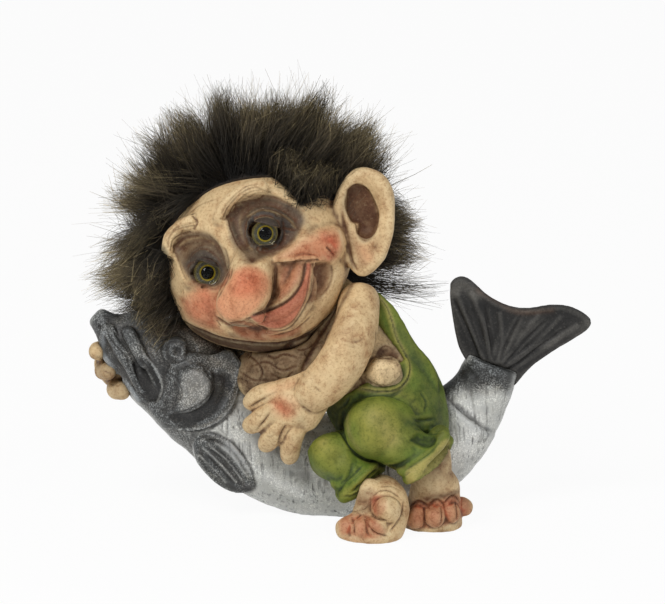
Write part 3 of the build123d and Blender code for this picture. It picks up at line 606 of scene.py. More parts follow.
trollHead = {
    "nodes": ["head", "nose", "left_brow", "right_brow", "upper_lip", "lower_lip", "tongue", "left_ear"],
    "roughGrain": 0.6 * mm,
    "grain": 0.34 * mm,
    "rough": [(5.0, 0.22, 21), (1.6, 0.07, 22)],
    "scalpCut": ((0, -0.36, 0), (-0.873, 0.489)),  # place, then the shares of face and crown in the plane's normal
    "eyes": {"left": (0.47, 0.80, 0.23), "right": (-0.28, 0.81, 0.18)},
    # each lid: eye, its radius, how far its edge lies from the eye's middle, and which way, right and up
    "lids": [("left", 5.5 * mm, 3.0 * mm, (0.25, 1.0)), ("left", 5.0 * mm, 3.7 * mm, (0.1, -1.0)),
             ("right", 5.5 * mm, 3.1 * mm, (0.35, 1.0)), ("right", 5.0 * mm, 3.6 * mm, (-0.1, -1.0))],
    "seat": (4.75 * mm, 1.2 * mm),  # the radius of an eye's seat, and how far behind the eye's middle it goes
    "gaze": (-0.0682, -0.9758, 0.2079),
    "forms": """
    swell 7 2.6: 276,258 292,244 312,234 334,229 342,240 336,256 318,261 296,260
    swell 8 1.6: 186,296 200,290 214,296 217,312 205,324 190,318
    swell 9 1.2: 214,188 246,180 276,183 288,195 262,198 232,204 208,222 192,216
    swell 5 1.0: 262,332 286,334 306,322 320,306 318,322 296,338 270,340
    sink 7 2.4: 227,218 234,241 244,254 251,262 260,259 270,254 287,245 297,234 303,220 298,211 286,203 273,197
        252,199 239,205
    sink 7 2.4: 175,247 185,235 198,233 213,237 223,249 228,264 228,276 217,286 198,284 187,273 179,259
    swell 4 1.3: 244,222 252,212 262,208 275,210 287,218 294,227 284,224 266,218 252,224
    swell 4 1.2: 188,262 195,253 205,250 214,256 220,266 206,259
    swell 3 1.0: 184,282 198,279 212,287 222,283 216,290 200,290
    sink 5 2.6: 312,265 328,266 326,284 316,297 308,300
    sink 2.5 1.2: 275,268 279,290 272,307 264,311 271,298
    swell 3.5 2.0: 252,316 268,312 286,303 298,291 305,277 310,265 310,281 306,298 299,312 290,323 277,328 261,325
    sink 4 1.6: 229,323 246,322 254,325 266,330 258,335 242,334
    sink 3.5 2.2: 164,312 181,321 202,331 223,339 248,343 277,344 299,339 312,331 328,318 346,306 346,330 310,356
        262,362 206,352 166,332
    swell 6 1.2: 334,262 342,270 340,290 326,310 318,300 330,284
    """,
    "folds": """
    # brow ridges and the eye sockets' rims
    lap 3.0 0.8 220,242: 226,216 231,232 238,247 250,261
    crease 1.8 0.4 0.6: 234,205 250,198 268,196 285,202 299,210
    lap 3.0 0.8 238,256: 210,235 219,242 226,256 229,272
    crease 1.6 0.4 0.6: 174,246 178,260 183,274 188,282
    # lids
    crease 1.4 0.4 0.7: 245,224 252,214 263,209 276,211 288,219 297,228
    crease 1.5 0.5 1.0: 281,228 288,229 296,230
    crease 1.4 0.4 0.7: 188,260 196,251 206,249 216,256 223,267
    crease 1.3 0.35 0.6: 185,282 194,279 204,286 214,289 222,284
    crease 1.3 0.25 0.4: 252,247 262,252 274,250 286,240
    # nose
    crease 1.8 0.5 0.6: 230,272 225,285 217,299
    crease 2.0 0.7 0.7: 276,264 276,274 275,284 274,293 268,305 258,315
    crease 2.0 0.9 0.9: 217,317 226,323 240,322 252,317
    crease 1.3 0.4 0.8: 216,319 220,325 217,328
    # smile, mouth and chin
    lap 3.4 1.0 306,250: 277,262 290,260 306,260 318,259 329,261
    crease 2.2 0.7 0.6: 326,246 332,252 335,257
    crease 2.0 0.4 0.5: 331,264 332,276 328,288 318,298
    crease 1.9 1.2 1.0: 305,264 303,278 297,291 286,302 269,310 254,315
    crease 1.4 0.6 0.8: 311,265 309,282 306,298 299,313 290,324 277,329 260,326 250,319
    crease 1.4 0.3 0.4: 262,333 282,334 300,326 314,313
    crease 2.0 0.8 1.0: 168,309 181,319 202,330 223,338 248,342 277,343 299,338 312,330 328,316 343,303 352,284
    # forehead and temple
    crease 1.5 0.2 0.3: 186,216 200,205 216,199
    crease 2.2 0.6 0.6: 342,214 346,232 350,250 352,268
    """,
    "brows": """
    press 1.2 0.45 0.8: 224,217 228,208 236,198 246,190 256,187
    press 1.0 0.35 0.7: 222,213 227,204 236,194 247,186 257,184
    press 1.0 0.35 0.7: 229,215 233,207 241,199 251,192 262,190
    press 1.3 0.4 0.8: 221,219 226,219 231,213
    press 1.0 0.35 0.6: 232,204 236,205 241,203
    press 1.0 0.35 0.6: 243,195 249,197 255,194
    press 1.0 0.35 0.6: 254,185 262,190 270,192
    press 1.2 0.45 0.8: 168,247 169,238 174,231 184,228 194,226
    press 1.0 0.4 0.8: 171,250 173,241 180,235 190,232
    press 1.0 0.35 0.7: 170,236 176,228 186,225 196,222
    press 1.2 0.4 0.9: 174,252 178,244 186,238 198,236
    press 1.3 0.5 0.9: 193,216 197,222 194,229
    press 1.0 0.3 0.6: 180,224 183,229 181,234
    """,
    "ear": """
    sink 2.5 1.6 0.85: 348,190 356,185 366,189 373,200 377,213 376,227 371,237 363,239 358,232 359,224 353,221 348,210
    crease 1.6 0.6 0.9: 349,192 346,204 350,216 356,223 358,232 364,240 373,238
    raise 5 0.8: 350,178 364,172 377,178 386,194 391,216 389,238 380,258
    crease 1.5 0.5 0.9: 356,222 364,222 362,232
    crease 1.8 0.5 0.6: 346,246 352,260 358,272
    """,
    # painted shade in the corner of the mouth
    # painted shade on the cheek beside the nose
    # painted shade on the chin under the lip
    # painted shade under the lower lip
    # painted shadow along the nose's lower and left edge
    # under the jaw, the brown of the neck together with painted shade under the chin, and a dark line along the jaw
    "colour": """
    fill 3 0.86 socket: 225,217 233,241 243,254 250,263 260,260 270,255 287,246 298,235 304,221 299,210 286,202
        273,196 252,198 238,204
    fill 7 0.75 ink: 241,226 248,214 262,206 280,208 294,220 292,236 280,248 262,252 247,244
    tint 3.5 0.7 black: 252,222 256,236 264,246 276,244 284,234 283,225
    tint 4 0.5 deep: 236,212 233,226 240,242
    tint 1.5 0.4 straw: 248,216 262,210 277,213 289,220 295,227
    tint 4 0.4 ink: 288,206 296,212 300,222
    fill 3 0.8 socket: 173,246 184,234 198,231 213,236 224,249 229,264 229,277 217,287 198,285 186,274 178,260
    fill 5 0.7 ink: 184,264 191,252 204,247 217,256 225,268 221,282 208,286 194,283
    tint 3.5 0.6 black: 196,268 200,260 210,260 219,268 218,280 206,284
    tint 3.5 0.5 deep: 206,240 218,250 224,264
    tint 4 0.5 socket: 231,238 238,250 246,262
    tint 1.2 0.5 deep: 241,206 234,222 238,238 248,252
    tint 1.1 0.35 straw: 247,206 240,220 243,238 252,250
    tint 1.2 0.5 deep: 252,203 270,200 288,206
    tint 1.1 0.4 straw: 180,245 190,239 204,238 214,244
    tint 1.2 0.5 deep: 178,251 188,244 202,243
    tint 1.4 0.6 black: 226,250 229,264 226,278
    fill 2 0.6 brownSkin: 184,283 198,279 212,287 222,283 216,291 200,291
    cover 3 1: 222,210 228,244 250,266 272,258 292,246 308,222 300,206 272,192 240,198
    cover 3 1: 172,250 184,232 212,234 230,262 230,280 216,292 184,286
    cover 2 0.85: 246,312 272,262 312,258 330,262 326,290 306,306 290,328 262,334 246,322
    cover 2 1: 160,314 181,324 223,342 262,348 300,343 328,322 350,308 350,360 160,360
    # nose
    fill 5 0.8 peach: 231,272 246,266 262,270 270,282 264,300 246,317 228,321 216,308 221,292
    fill 7 0.75 blush: 236,276 246,271 259,274 262,286 250,296 233,294
    tint 5 0.6 noseTip: 222,302 228,312 240,315 254,306
    cover 2 0.85: 231,272 246,266 262,270 270,282 264,300 246,317 228,321 216,308 221,292
    tint 1.3 0.8 wash: 230,268 222,286 213.5,302 213.5,311 217,318 224,323 233,325 246,321 258,313
    # cheeks
    fill 7 0.72 blush: 276,258 296,244 312,235 326,230 338,230 343,242 336,257 322,260 300,259
    tint 6 0.7 flush: 326,236 334,246 330,257
    tint 5 0.5 rust: 310,252 322,256
    tint 3 0.5 pale: 340,232 344,246
    fill 7 0.8 blush: 182,300 198,290 216,296 216,312 216,326 200,326 186,314
    tint 7 0.45 flush: 206,296 208,308
    tint 5 0.5 rust: 208,322 220,330
    tint 3.4 0.6 rust: 226,282 213,296 209,308 212,320
    tint 5 0.7 earthy: 232,335 256,340 280,340 298,334
    # mouth
    fill 2 0.7 brownSkin: 275,264 305,262 303,277 295,289 284,299 268,309 258,312 268,300 273,285
    fill 4 0.4 lip: 284,266 302,264 300,277 292,288 280,298 278,286
    tint 3 0.3 peach: 288,268 294,276 286,290
    tint 2.2 0.5 deep: 276,270 274,284 274,298 264,310
    tint 2.4 0.5 deep: 272,277 273,284
    tint 3 0.6 deep: 274,297
    tint 2.4 0.5 wash: 284,264 300,263
    fill 1.8 0.95 lip: 250,316 268,311 286,302 297,290 304,277 306,264 311,264 310,281 306,298 299,313 290,324 277,329
        260,326
    tint 3.4 0.6 lipDeep: 304,282 297,297 284,308 268,315
    tint 2.0 1.0 mouth: 305,266 303,279 297,291 286,302 269,310 254,315
    tint 1.6 0.8 deep: 312,284 308,300 300,315 290,327 277,331 260,329 250,321
    fill 3.5 0.8 brownSkin: 311,264 329,264 328,284 318,298 308,301 311,280
    tint 4.5 0.6 wash: 317,268 320,282
    tint 4 0.45 brownSkin: 312,300 306,316 294,328
    fill 3 0.8 rust: 226,323 246,321 262,328 284,332 300,326 296,334 270,340 244,338
    tint 3 0.85 deep: 230,325 244,326 258,329
    # jaw, neck side and ear
    fill 2.5 0.95 umber: 162,310 181,320 202,330 223,338 248,342 277,343 299,338 312,330 328,317 346,303 350,330
        310,358 262,364 206,354 162,334
    tint 2.8 0.9 deep: 168,309 181,319 202,330 223,338 248,342 277,343 299,338 312,330 328,316 343,303 352,284
    tint 5 0.3 brownSkin: 170,296 180,312 204,324
    tint 5 0.3 brownSkin: 296,334 314,320 330,300
    fill 2.5 0.9 earBrown: 346,190 356,184 366,188 373,199 377,213 377,227 372,238 363,242 357,234 358,224 350,221
        345,208
    tint 3.5 0.6 deep: 352,192 350,206 356,220
    tint 4 0.35 brownSkin: 366,196 372,212 372,230
    tint 6 0.5 brownSkin: 352,236 358,250 362,262
    tint 3.5 0.6 wash: 346,196 343,214 345,230
    tint 5 0.3 brownSkin: 378,240 372,258
    tint 6 0.35 peach: 364,250 368,258
    tint 3.5 0.6 wash: 346,226 350,244 354,266
    tint 5 0.35 socket: 300,210 306,220 310,232
    # what the fur hangs over
    fill 2.5 0.92 black: 156,240 167,250 170,268 170,290 176,306 168,316 154,300
    fill 3 0.95 black: 270,174 284,187 294,198 301,207 318,198 332,188 344,178 350,160 300,160
    """,
}


def cutScalp(bm):  # the wig hides what is behind this plane
    place, (face, crown) = trollHead["scalpCut"]
    normal = headAxes["face"].normalized() * face + headAxes["crown"].normalized() * crown
    cutAway(bm, wholeOf(bm), headSpot(*place), normal, clear_outer=True)


def addLids(bm):  # each lid is a cap of a ball round the eye
    across, rise, back = viewAxes()
    for eye, radius, away, (right, up) in trollHead["lids"]:
        centre = headSpot(*trollHead["eyes"][eye])
        ball = bmesh.ops.create_uvsphere(bm, u_segments=32, v_segments=20, radius=radius,
                                         matrix=Matrix.Translation(centre))
        skin = set(ball["verts"])
        skin |= {e for v in ball["verts"] for e in v.link_edges} | {f for v in ball["verts"] for f in v.link_faces}
        normal = (across * right + rise * up).normalized()
        cutAway(bm, list(skin), centre + normal * away, normal, clear_inner=True)


def makeHead():
    clay = Clay("trollHead", trollHead["nodes"], trollHead["roughGrain"], "skin", 5, cutScalp)
    clay.work(trollHead["forms"])
    for eye in trollHead["eyes"].values():
        clay.bore(headSpot(*eye), trollHead["gaze"], *trollHead["seat"])
    clay.rework(trollHead["grain"], 4, addLids)
    clay.roughen(trollHead["rough"])
    clay.work(trollHead["folds"], trollHead["brows"], trollHead["ear"])
    clay.relax(1, 0.4)
    clay.settle()
    clay.work(trollHead["colour"])
    return clay


def shaped(part):  # cuts off what the clothes hide, and adds the rolled hems
    def change(bm):
        if "cut" in part:
            place, normal = (Vector(v) for v in part["cut"])
            cutAway(bm, wholeOf(bm), place, normal, clear_outer=True)
        for pixels, radius, nodes, behind in part.get("rolls", []):
            solids = bmesh.new()
            for node in nodes:
                solids.from_mesh(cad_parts[node].data)
            tree = BVHTree.FromBMesh(solids)
            solids.free()
            rays = [photoRay(u, v) for u, v in curveThrough(pixels, 2)]
            hits = [tree.ray_cast(*ray)[3] for ray in rays]
            met = [i for i, hit in enumerate(hits) if hit]
            depths = np.interp(range(len(hits)), met, [hits[i] for i in met])
            depths = np.convolve(np.pad(depths, 3, "edge"), np.ones(7) / 7, "valid")
            for (start, way), depth in zip(rays, depths):
                place = start + way * (depth + behind)
                bmesh.ops.create_icosphere(bm, subdivisions=2, radius=radius, matrix=Matrix.Translation(place))
    return change


trunk = {
    "nodes": ["torso", "chest", "side_roll"], "grain": 0.45 * mm, "cut": ((26 * mm, 0, 38 * mm), (0.75, 0.0, -0.65)),
    "strokes": """
    swell 5 1.6: 364,375 378,360 392,359 402,370 404,383 389,390 372,388
    sink 3 0.8 0.6: 377,358 380,349 392,348 398,356 392,359
    fill 6 0.9 earthy: 214,338 250,344 300,340 330,316 346,300 342,330 322,352 306,374 280,392 250,396 236,372 232,352
    tint 8 0.3 brownSkin: 248,350 270,362 292,350
    crease 2.6 1.1 1.0: 350,275 340,300 330,318 318,340 306,362 300,375
    crease 1.6 0.5 0.9: 236,350 250,356 262,370 258,384
    crease 1.5 0.45 0.9: 262,352 274,358 284,354 298,358
    crease 1.5 0.45 0.8: 252,366 266,362 282,370 296,366
    crease 1.5 0.45 0.8: 240,372 254,380 268,380
    crease 1.5 0.45 0.8: 290,342 300,350 314,344 322,330
    crease 1.4 0.4 0.8: 272,374 284,380 292,372
    crease 1.4 0.4 0.7: 244,342 252,350 248,360
    crease 2.0 0.6 0.9: 366,380 372,366 382,360 392,362 402,374
    crease 1.6 0.5 1.0: 378,352 386,346 394,350
    fill 4 0.65 earthy: 374,362 378,346 392,343 402,358
    tint 6 0.4 pale: 384,370
    tint 4 0.5 fern: 368,384 378,388 392,388 403,380
    tint 2.5 0.8 wash: 368,374 376,362 388,357 400,364
    """}
nearArm = {
    "nodes": ["left_upper_arm", "left_forearm", "left_palm", "left_thumb", "left_index_finger", "left_middle_finger",
              "left_little_finger"], "grain": 0.36 * mm, "relax": 12,
    # painted highlight on the back of the hand
    # painted shade along the arm's edges where it meets the chest
    "strokes": """
    raise 12 0.8: 352,310 346,330 332,350
    raise 10 1.0: 308,384 300,392
    swell 7 0.8: 266,396 284,392 300,402 302,420 286,424 270,414
    crease 1.8 0.6 0.7: 300,372 306,378 312,385 320,391
    crease 1.4 0.3 0.4: 304,366 310,374 316,379
    crease 1.8 0.5 0.6: 338,336 346,341 356,342 364,339
    crease 1.3 0.25 0.4: 340,342 348,346 356,347
    crease 1.8 1.0 0.9: 276,392 268,396 260,401 250,407
    crease 1.8 1.0 0.9: 277,408 270,413 264,421 257,430
    crease 1.8 1.0 0.9: 286,424 282,432 279,441 276,451
    crease 1.2 0.3 0.5: 256,386 260,389 264,387
    crease 1.2 0.3 0.5: 254,412 258,416 262,415
    crease 1.2 0.3 0.5: 266,436 271,437 275,434
    raise 5 0.4: 272,394 262,390
    raise 5 0.4: 274,404 264,410
    raise 5 0.4: 281,418 274,428
    raise 5 0.4: 292,424 290,436
    fill 6 0.6 blush: 270,402 280,396 294,400 298,410 290,418 276,414
    tint 4 0.5 flush: 282,406 288,410
    tint 6 0.4 pale: 292,398 300,412 304,424
    tint 9 0.22 brownSkin: 340,322 352,340
    tint 6 0.25 peach: 290,384 280,388 270,390
    tint 3.5 0.8 wash: 352,284 340,308 324,344 305,368
    tint 2.5 0.7 wash: 376,334 374,352 364,372 348,392 326,418 312,432
    tint 5 0.4 brownSkin: 352,284 362,280 372,290
    """}
farArm = {
    "nodes": ["right_arm", "right_palm", "right_index_finger", "right_middle_finger", "right_little_finger"],
    "grain": 0.42 * mm,
    "strokes": """
    tint 13 0.6 earthy: 100,364 112,378 122,388
    crease 1.4 0.4 0.8: 96,356 104,360
    crease 1.4 0.4 0.8: 102,370 112,374
    crease 1.4 0.4 0.8: 110,384 120,386
    """}
frontFoot = {
    "nodes": ["left_foot", "left_toes"], "grain": 0.34 * mm,
    "rolls": [([(440, 470), (440, 458), (438, 448)], 3.9 * mm, ["left_foot"], 3.9 * mm)],
    "strokes": """
    fill 6 0.5 earthy: 404,484 416,478 432,470 446,458 456,476 440,496 420,504 408,502
    crease 1.8 0.8 0.9: 410,506 418,501 426,505 430,510
    crease 1.8 0.8 0.9: 428,506 436,500 443,504 445,510
    crease 1.8 0.8 0.9: 444,503 452,496 458,499 460,504
    crease 1.5 0.9 1.0: 424,508 425,518 424,527
    crease 1.5 0.9 1.0: 441,507 442,516 441,524
    crease 1.5 0.9 1.0: 455,503 457,511 457,519
    raise 6 0.7: 416,514
    raise 6 0.7: 433,513
    raise 5.5 0.7: 449,509
    raise 5.5 0.7: 462,505
    tint 6.5 0.85 toe: 416,508 416,518
    tint 6.5 0.85 toe: 433,507 434,517
    tint 6 0.85 toe: 448,504 449,514
    tint 6 0.85 toe: 461,500 462,510
    fill 3 0.7 toe: 407,508 420,500 436,499 452,495 467,497 472,512 467,522 446,527 426,530 408,527
    tint 3 0.7 wash: 408,505 424,500 440,497 458,492
    tint 8 0.5 pale: 416,488 436,486
    tint 4 0.6 wash: 424,502 436,498 452,494
    tint 3.5 0.85 pale: 406,533 426,531 445,528 463,520
    """}
backFoot = {
    "nodes": ["right_foot", "right_toes"], "grain": 0.34 * mm,
    "strokes": """
    crease 1.6 0.5 0.6: 374,496 380,491 390,491 399,497
    crease 1.8 0.8 0.9: 371,500 370,510 376,518 388,521
    crease 1.6 0.8 0.9: 366,517 369,526 376,533 388,536
    crease 1.6 0.9 1.0: 352,516 354,526 354,534
    crease 1.6 0.8 0.9: 364,514 366,524 367,533
    crease 1.8 0.8 0.9: 342,518 348,513 356,514 364,511 369,505
    crease 1.6 0.5 0.6: 404,500 402,512 396,524 390,531
    crease 1.3 0.25 0.3: 378,488 390,486 400,490
    raise 8 1.0: 387,506
    raise 6 0.5: 380,526
    raise 5 0.5: 347,525
    raise 9 2.4: 367,490 363,502 360,512
    fill 4 0.55 earthy: 342,500 366,488 376,494 370,512 356,516 342,518
    raise 5 0.5: 360,524
    tint 5 0.75 toe: 376,500 375,510
    tint 4.5 0.75 toe: 372,522 376,528
    tint 6 0.85 toe: 345,522 347,530
    tint 6 0.8 toe: 359,520 361,530
    fill 3 0.7 toe: 338,520 346,513 358,515 372,517 386,532 378,542 358,542 342,536
    fill 3 0.6 toe: 370,502 378,496 386,498 386,510 376,516
    tint 3 0.7 deep: 352,514 364,510
    tint 7 0.4 brownSkin: 350,506 366,504
    tint 5 0.5 pale: 388,504 392,510
    tint 3 0.6 pale: 346,536 372,541 392,532
    """}
dungarees = {
    "nodes": ["dungarees_seat", "dungarees_strap", "left_trouser_leg", "right_trouser_leg"], "grain": 0.42 * mm,
    # rolled hems: their line, how thick, the members they lie on and how far behind their fronts
    "rolls": [([(344, 497), (353, 493), (362, 486), (370, 476), (379, 468)], 2.3 * mm, ["right_foot"], 1.0 * mm),
              ([(343, 494), (350, 486), (360, 484)], 2.6 * mm, ["right_foot", "right_trouser_leg"], 2.6 * mm),
              ([(338, 482), (346, 480), (358, 478)], 2.8 * mm, ["right_foot", "right_trouser_leg"], 3.0 * mm),
              ([(408, 479), (418, 473), (431, 464), (442, 453), (448, 441)], 2.1 * mm,
                ["left_foot", "left_trouser_leg"], 0.8 * mm),
              ([(404, 470), (416, 464), (428, 455), (438, 445), (444, 436)], 2.4 * mm,
                ["left_foot", "left_trouser_leg"], 1.4 * mm),
              ([(424, 452), (434, 444), (440, 434)], 3.4 * mm, ["left_trouser_leg", "left_foot"], 3.6 * mm)],
    # painted highlights on the knees
    # painted shade between the arm and the knees, and darker lines along the knee creases
    # painted shadow under the strap's trim
    "strokes": """
    swell 8 1.6: 347,424 352,411 366,401 384,398 404,404 412,420 410,446 396,459 374,457 356,447
    swell 6 1.2: 308,452 316,440 330,435 344,440 351,453 349,468 338,474 320,468
    sink 4 1.4 0.6: 412,440 420,434 432,436 434,443 424,446
    crease 2.6 1.3 1.0: 344,412 342,426 346,440 358,454 376,463 396,466 408,460
    crease 1.8 0.5 0.7: 344,424 348,438 360,451 374,458
    crease 2.2 0.8 0.9: 306,446 316,436 330,431 342,434 350,446
    crease 2.4 0.8 0.8: 304,458 312,470 324,484 338,496
    crease 2.0 0.6 0.7: 352,462 350,474 343,486 338,492
    crease 2.2 0.9 0.8: 398,414 408,419 420,421 434,419
    crease 1.6 0.4 0.5: 408,430 420,430 434,434 444,432
    crease 1.3 0.3 0.4: 386,408 392,414 394,422
    crease 1.6 0.4 0.5: 420,392 426,402 424,412
    crease 2.2 0.7 0.8: 360,396 374,398 390,396 402,390
    crease 1.6 0.5 0.9: 350,396 346,404 338,410
    lap 3.2 0.7 415,395: 355,387 366,389 380,391 396,389 406,380 409,366 403,351 396,338 391,320 384,304 368,288
    lap 4 0.9 356,478: 342,496 353,494 362,488 370,478 380,469
    raise 4 0.6: 346,490 358,482 367,473 377,464
    crease 1.6 0.4 0.6: 340,484 352,476 362,466
    lap 4.5 1.0 424,452: 408,484 420,477 433,468 444,456 449,442
    raise 4 0.6: 408,477 420,470 432,462 443,450
    crease 1.8 0.5 0.6: 406,470 418,462 430,453 440,442
    fill 2.2 0.72 trim: 405,474 409,485 418,479 432,471 445,459 450,441 442,441 432,454 418,463 408,469
    fill 2.4 0.45 lime: 340,498 353,497 364,490 372,479 381,471 378,464 366,474 356,484 343,491
    tint 2.6 0.85 trim: 355,387 366,389 380,391 396,389 406,380 409,366 403,351 396,338 391,320 384,304 368,288
    fill 10 0.6 lime: 354,414 368,406 384,404 398,412 404,432 396,448 376,450 360,440
    tint 4 0.6 straw: 350,420 352,434 360,446
    tint 10 0.35 straw: 376,418 392,440
    tint 11 0.75 lime: 322,448 334,456
    tint 5 0.4 straw: 324,444
    tint 7 0.4 fern: 338,456 344,462
    fill 6 0.6 moss: 398,412 410,418 432,416 440,400 446,430 440,440 420,432 406,428
    tint 9 0.55 fern: 414,360 426,380 434,404
    tint 4 0.45 lime: 405,352 409,374
    tint 7 0.5 moss: 400,330 410,346 420,362
    tint 5 0.7 moss: 412,440 424,440 432,438
    tint 4 0.5 moss: 372,396 388,397 400,392
    tint 7 0.35 lime: 398,392 412,400 416,410
    tint 4 0.4 moss: 430,352 438,380 440,420
    tint 3 0.8 deep: 380,466 392,468 404,466
    fill 5 0.7 mossDeep: 306,432 322,410 346,396 350,412 344,428 330,432 314,438
    tint 2.4 0.8 mossDeep: 344,414 341,428 346,442 358,456 376,465 398,467
    tint 4 0.5 mossDeep: 310,464 322,480 338,492
    tint 2.0 0.7 mossDeep: 306,446 318,436 332,431 344,436
    """}


def makeBodies():
    made = []
    for name, part, ground, seed in (("trunkSkin", trunk, "skin", 31), ("nearArm", nearArm, "skin", 32),
                                     ("farArm", farArm, "skin", 33), ("frontFoot", frontFoot, "skin", 34),
                                     ("backFoot", backFoot, "skin", 35), ("dungarees", dungarees, "green", 36)):
        clay = Clay(name, part["nodes"], part["grain"], ground, part.get("relax", 7), shaped(part))
        clay.roughen([(4.5, 0.22, seed), (1.5, 0.07, seed + 10)])
        clay.work(part["strokes"])
        made.append(clay)
    return made


wholeFish = {
    "nodes": ["fish_body", "tail_stalk", "fish_head", "fish_upper_lip", "fish_lower_lip", "gill_cover_front",
              "gill_cover_back", "fish_eye_front", "fish_eye_back", "pectoral_fin_front", "pectoral_fin_back"],
    "grain": 0.47 * mm, "rough": [(5, 0.22, 51), (1.6, 0.09, 52)],
    "forms": """
    swell 5 1.6: 182,372 196,367 208,376 212,388 206,402 192,410 178,410 182,394 180,382
    swell 3 0.8: 96,322 104,318 108,326 104,336 96,332
    sink 3 1.3 0.7: 134,364 141,358 149,363 157,373 161,384 161,395 155,402 147,398 140,391 136,380
    sink 3.5 1.2 0.55: 213,372 228,376 228,394 216,412 200,422 180,422 170,416 190,413 204,405 212,394
    swell 4 0.8: 200,441 212,436 228,443 240,455 248,472 250,484 238,488 222,480 208,466
    """,
    "strokes": """
    crease 1.5 0.5 0.9: 166,352 168,344 176,341 184,344 187,352 184,359 176,362 169,359 166,352
    raise 1.6 0.5: 171,351 173,346 178,345 182,349 182,354 177,357 172,355 171,351
    press 3 0.7 0.8: 177,351
    crease 1.4 0.5 0.8: 193,345 196,350 198,356
    crease 1.4 0.4 0.6: 184,364 192,368 202,370
    lap 2.4 0.7 170,372: 144,355 152,366 159,378 161,390 157,400
    crease 1.7 0.7 0.9: 104,328 114,344 126,356 130,368 134,379 140,393 150,402
    crease 1.3 0.35 0.6: 108,324 118,338 128,350
    raise 3.4 0.8: 103,334 103,352 112,367 126,383 138,400
    press 2.2 0.9 1.0: 99,327
    crease 1.5 0.6 0.9: 98,336 104,330 108,322
    crease 1.7 0.8 1.0: 204,370 210,377 212,387 208,397 200,404 188,410 174,413
    crease 1.4 0.4 0.6: 164,371 173,375 180,384 182,395 178,402
    crease 1.4 0.3 0.5: 150,344 156,352 160,362
    lap 3.4 1.0 216,398: 239,366 239,381 235,397 228,411 217,422 205,428 192,430 178,428 165,423
    raise 3 0.5: 236,374 233,392 225,408 214,418 200,424
    lap 2.6 0.9 224,456: 193,446 197,438 207,434 221,437 235,446 245,459 252,473 254,485
    crease 1.5 0.5 0.9: 198,444 206,439 219,442 232,451 241,464 247,478
    crease 1.3 0.45 0.9: 204,442 220,452 234,466 245,483
    crease 1.3 0.45 0.9: 207,447 226,461 240,480
    crease 1.3 0.45 0.9: 207,455 224,472 234,483
    crease 1.3 0.45 0.9: 204,459 213,470 221,478
    crease 1.2 0.4 0.8: 176,429 184,442
    crease 1.2 0.4 0.8: 181,431 187,443
    crease 1.2 0.4 0.8: 186,432 190,445
    crease 1.2 0.3 0.6: 168,426 176,438
    crease 1.2 0.4 0.8: 228,417 219,424 208,431
    crease 1.2 0.4 0.8: 228,416 227,437
    crease 1.2 0.3 0.6: 218,427 227,436
    crease 1.6 0.5 0.9: 441,388 442,410 442,432
    crease 1.3 0.25 0.6: 452,392 454,420 457,446
    crease 1.3 0.25 0.5: 470,388 474,410 476,430
    """,
    # painted shade in grey along the belly's underside, under the hand and along the stalk's lower edge, and painted
    # highlight in white down the middle of the body and the stalk
    "colour": """
    # slate head and back, pearl sides
    fill 5 0.96 slate: 90,330 96,312 140,298 200,310 236,345 241,368 240,384 235,400 226,415 212,427 192,431 176,430
        160,423 140,404 120,380 98,350
    fill 2.5 0.95 slate: 190,444 197,436 208,433 222,436 236,445 247,458 253,473 256,488 240,494 220,486 204,470
        196,454
    fill 6 0.7 slate: 160,424 180,430 196,434 196,448 204,470 190,458 170,440 150,420
    fill 7 0.97 slate: 424,392 440,376 462,366 480,350 520,350 516,372 508,392 490,388 470,398 446,400 430,402
    fill 5 0.8 black: 440,380 446,372 462,366 480,356 504,360 500,376 480,376 460,386 446,392
    tint 8 0.35 dryBrush: 132,356 140,350 154,352
    fill 4 0.8 dryBrush: 183,374 196,369 206,377 210,388 205,400 192,407 180,408
    tint 7 0.45 dryBrush: 214,362 228,366 234,376
    fill 3.5 0.6 black: 214,374 232,375 232,394 220,412 202,423 180,423 168,416 190,413 205,404 213,392
    tint 6 0.25 inkBlue: 216,378 226,386
    tint 4 0.35 dryBrush: 218,384 229,396
    tint 4 0.55 black: 180,420 206,420
    fill 2.5 0.6 black: 134,364 141,358 149,363 157,373 161,384 161,395 155,402 147,398 140,391 136,380
    tint 2.0 0.5 dryBrush: 144,366 151,377 154,388
    tint 9 0.3 dryBrush: 170,332 190,336 206,352
    tint 5 0.25 dryBrush: 150,318 120,322 104,330
    tint 2.6 0.6 iceBlue: 104,334 104,352 113,367 127,383 139,400
    tint 1.4 0.6 silver: 144,354 153,366 160,378 162,391 157,401
    tint 2.2 0.5 dryBrush: 237,372 235,392 226,410 212,422 194,428
    tint 8 0.5 earthy: 160,330 180,326 200,336 226,348
    tint 1.8 0.6 dryBrush: 201,441 212,437 228,442 241,455 250,472
    fill 4 0.7 black: 200,456 212,458 226,474 236,486 222,484 208,470
    tint 1.2 0.6 silver: 203,448 220,464 236,482
    tint 1.2 0.6 silver: 208,444 226,460 242,480
    tint 1.2 0.6 silver: 215,442 232,456 247,476
    tint 1.2 0.6 silver: 199,455 212,468 226,482
    fill 10 0.35 greyGreen: 262,452 300,470 340,488 340,510 300,506 262,490 244,470
    tint 9 0.7 underGrey: 170,440 196,466 230,492 268,510 310,522 360,530
    tint 8 0.5 underGrey: 250,404 252,424 270,446 296,462 306,480
    tint 8 0.5 white: 230,446 256,470 300,494
    tint 13 0.8 white: 462,402 474,426 466,452
    tint 8 0.45 underGrey: 512,396 504,426 486,458 470,480
    tint 5 0.4 dryBrush: 450,402 462,396 480,392 496,390
    tint 9 0.75 black: 448,384 470,374 500,362 512,366
    """,
}
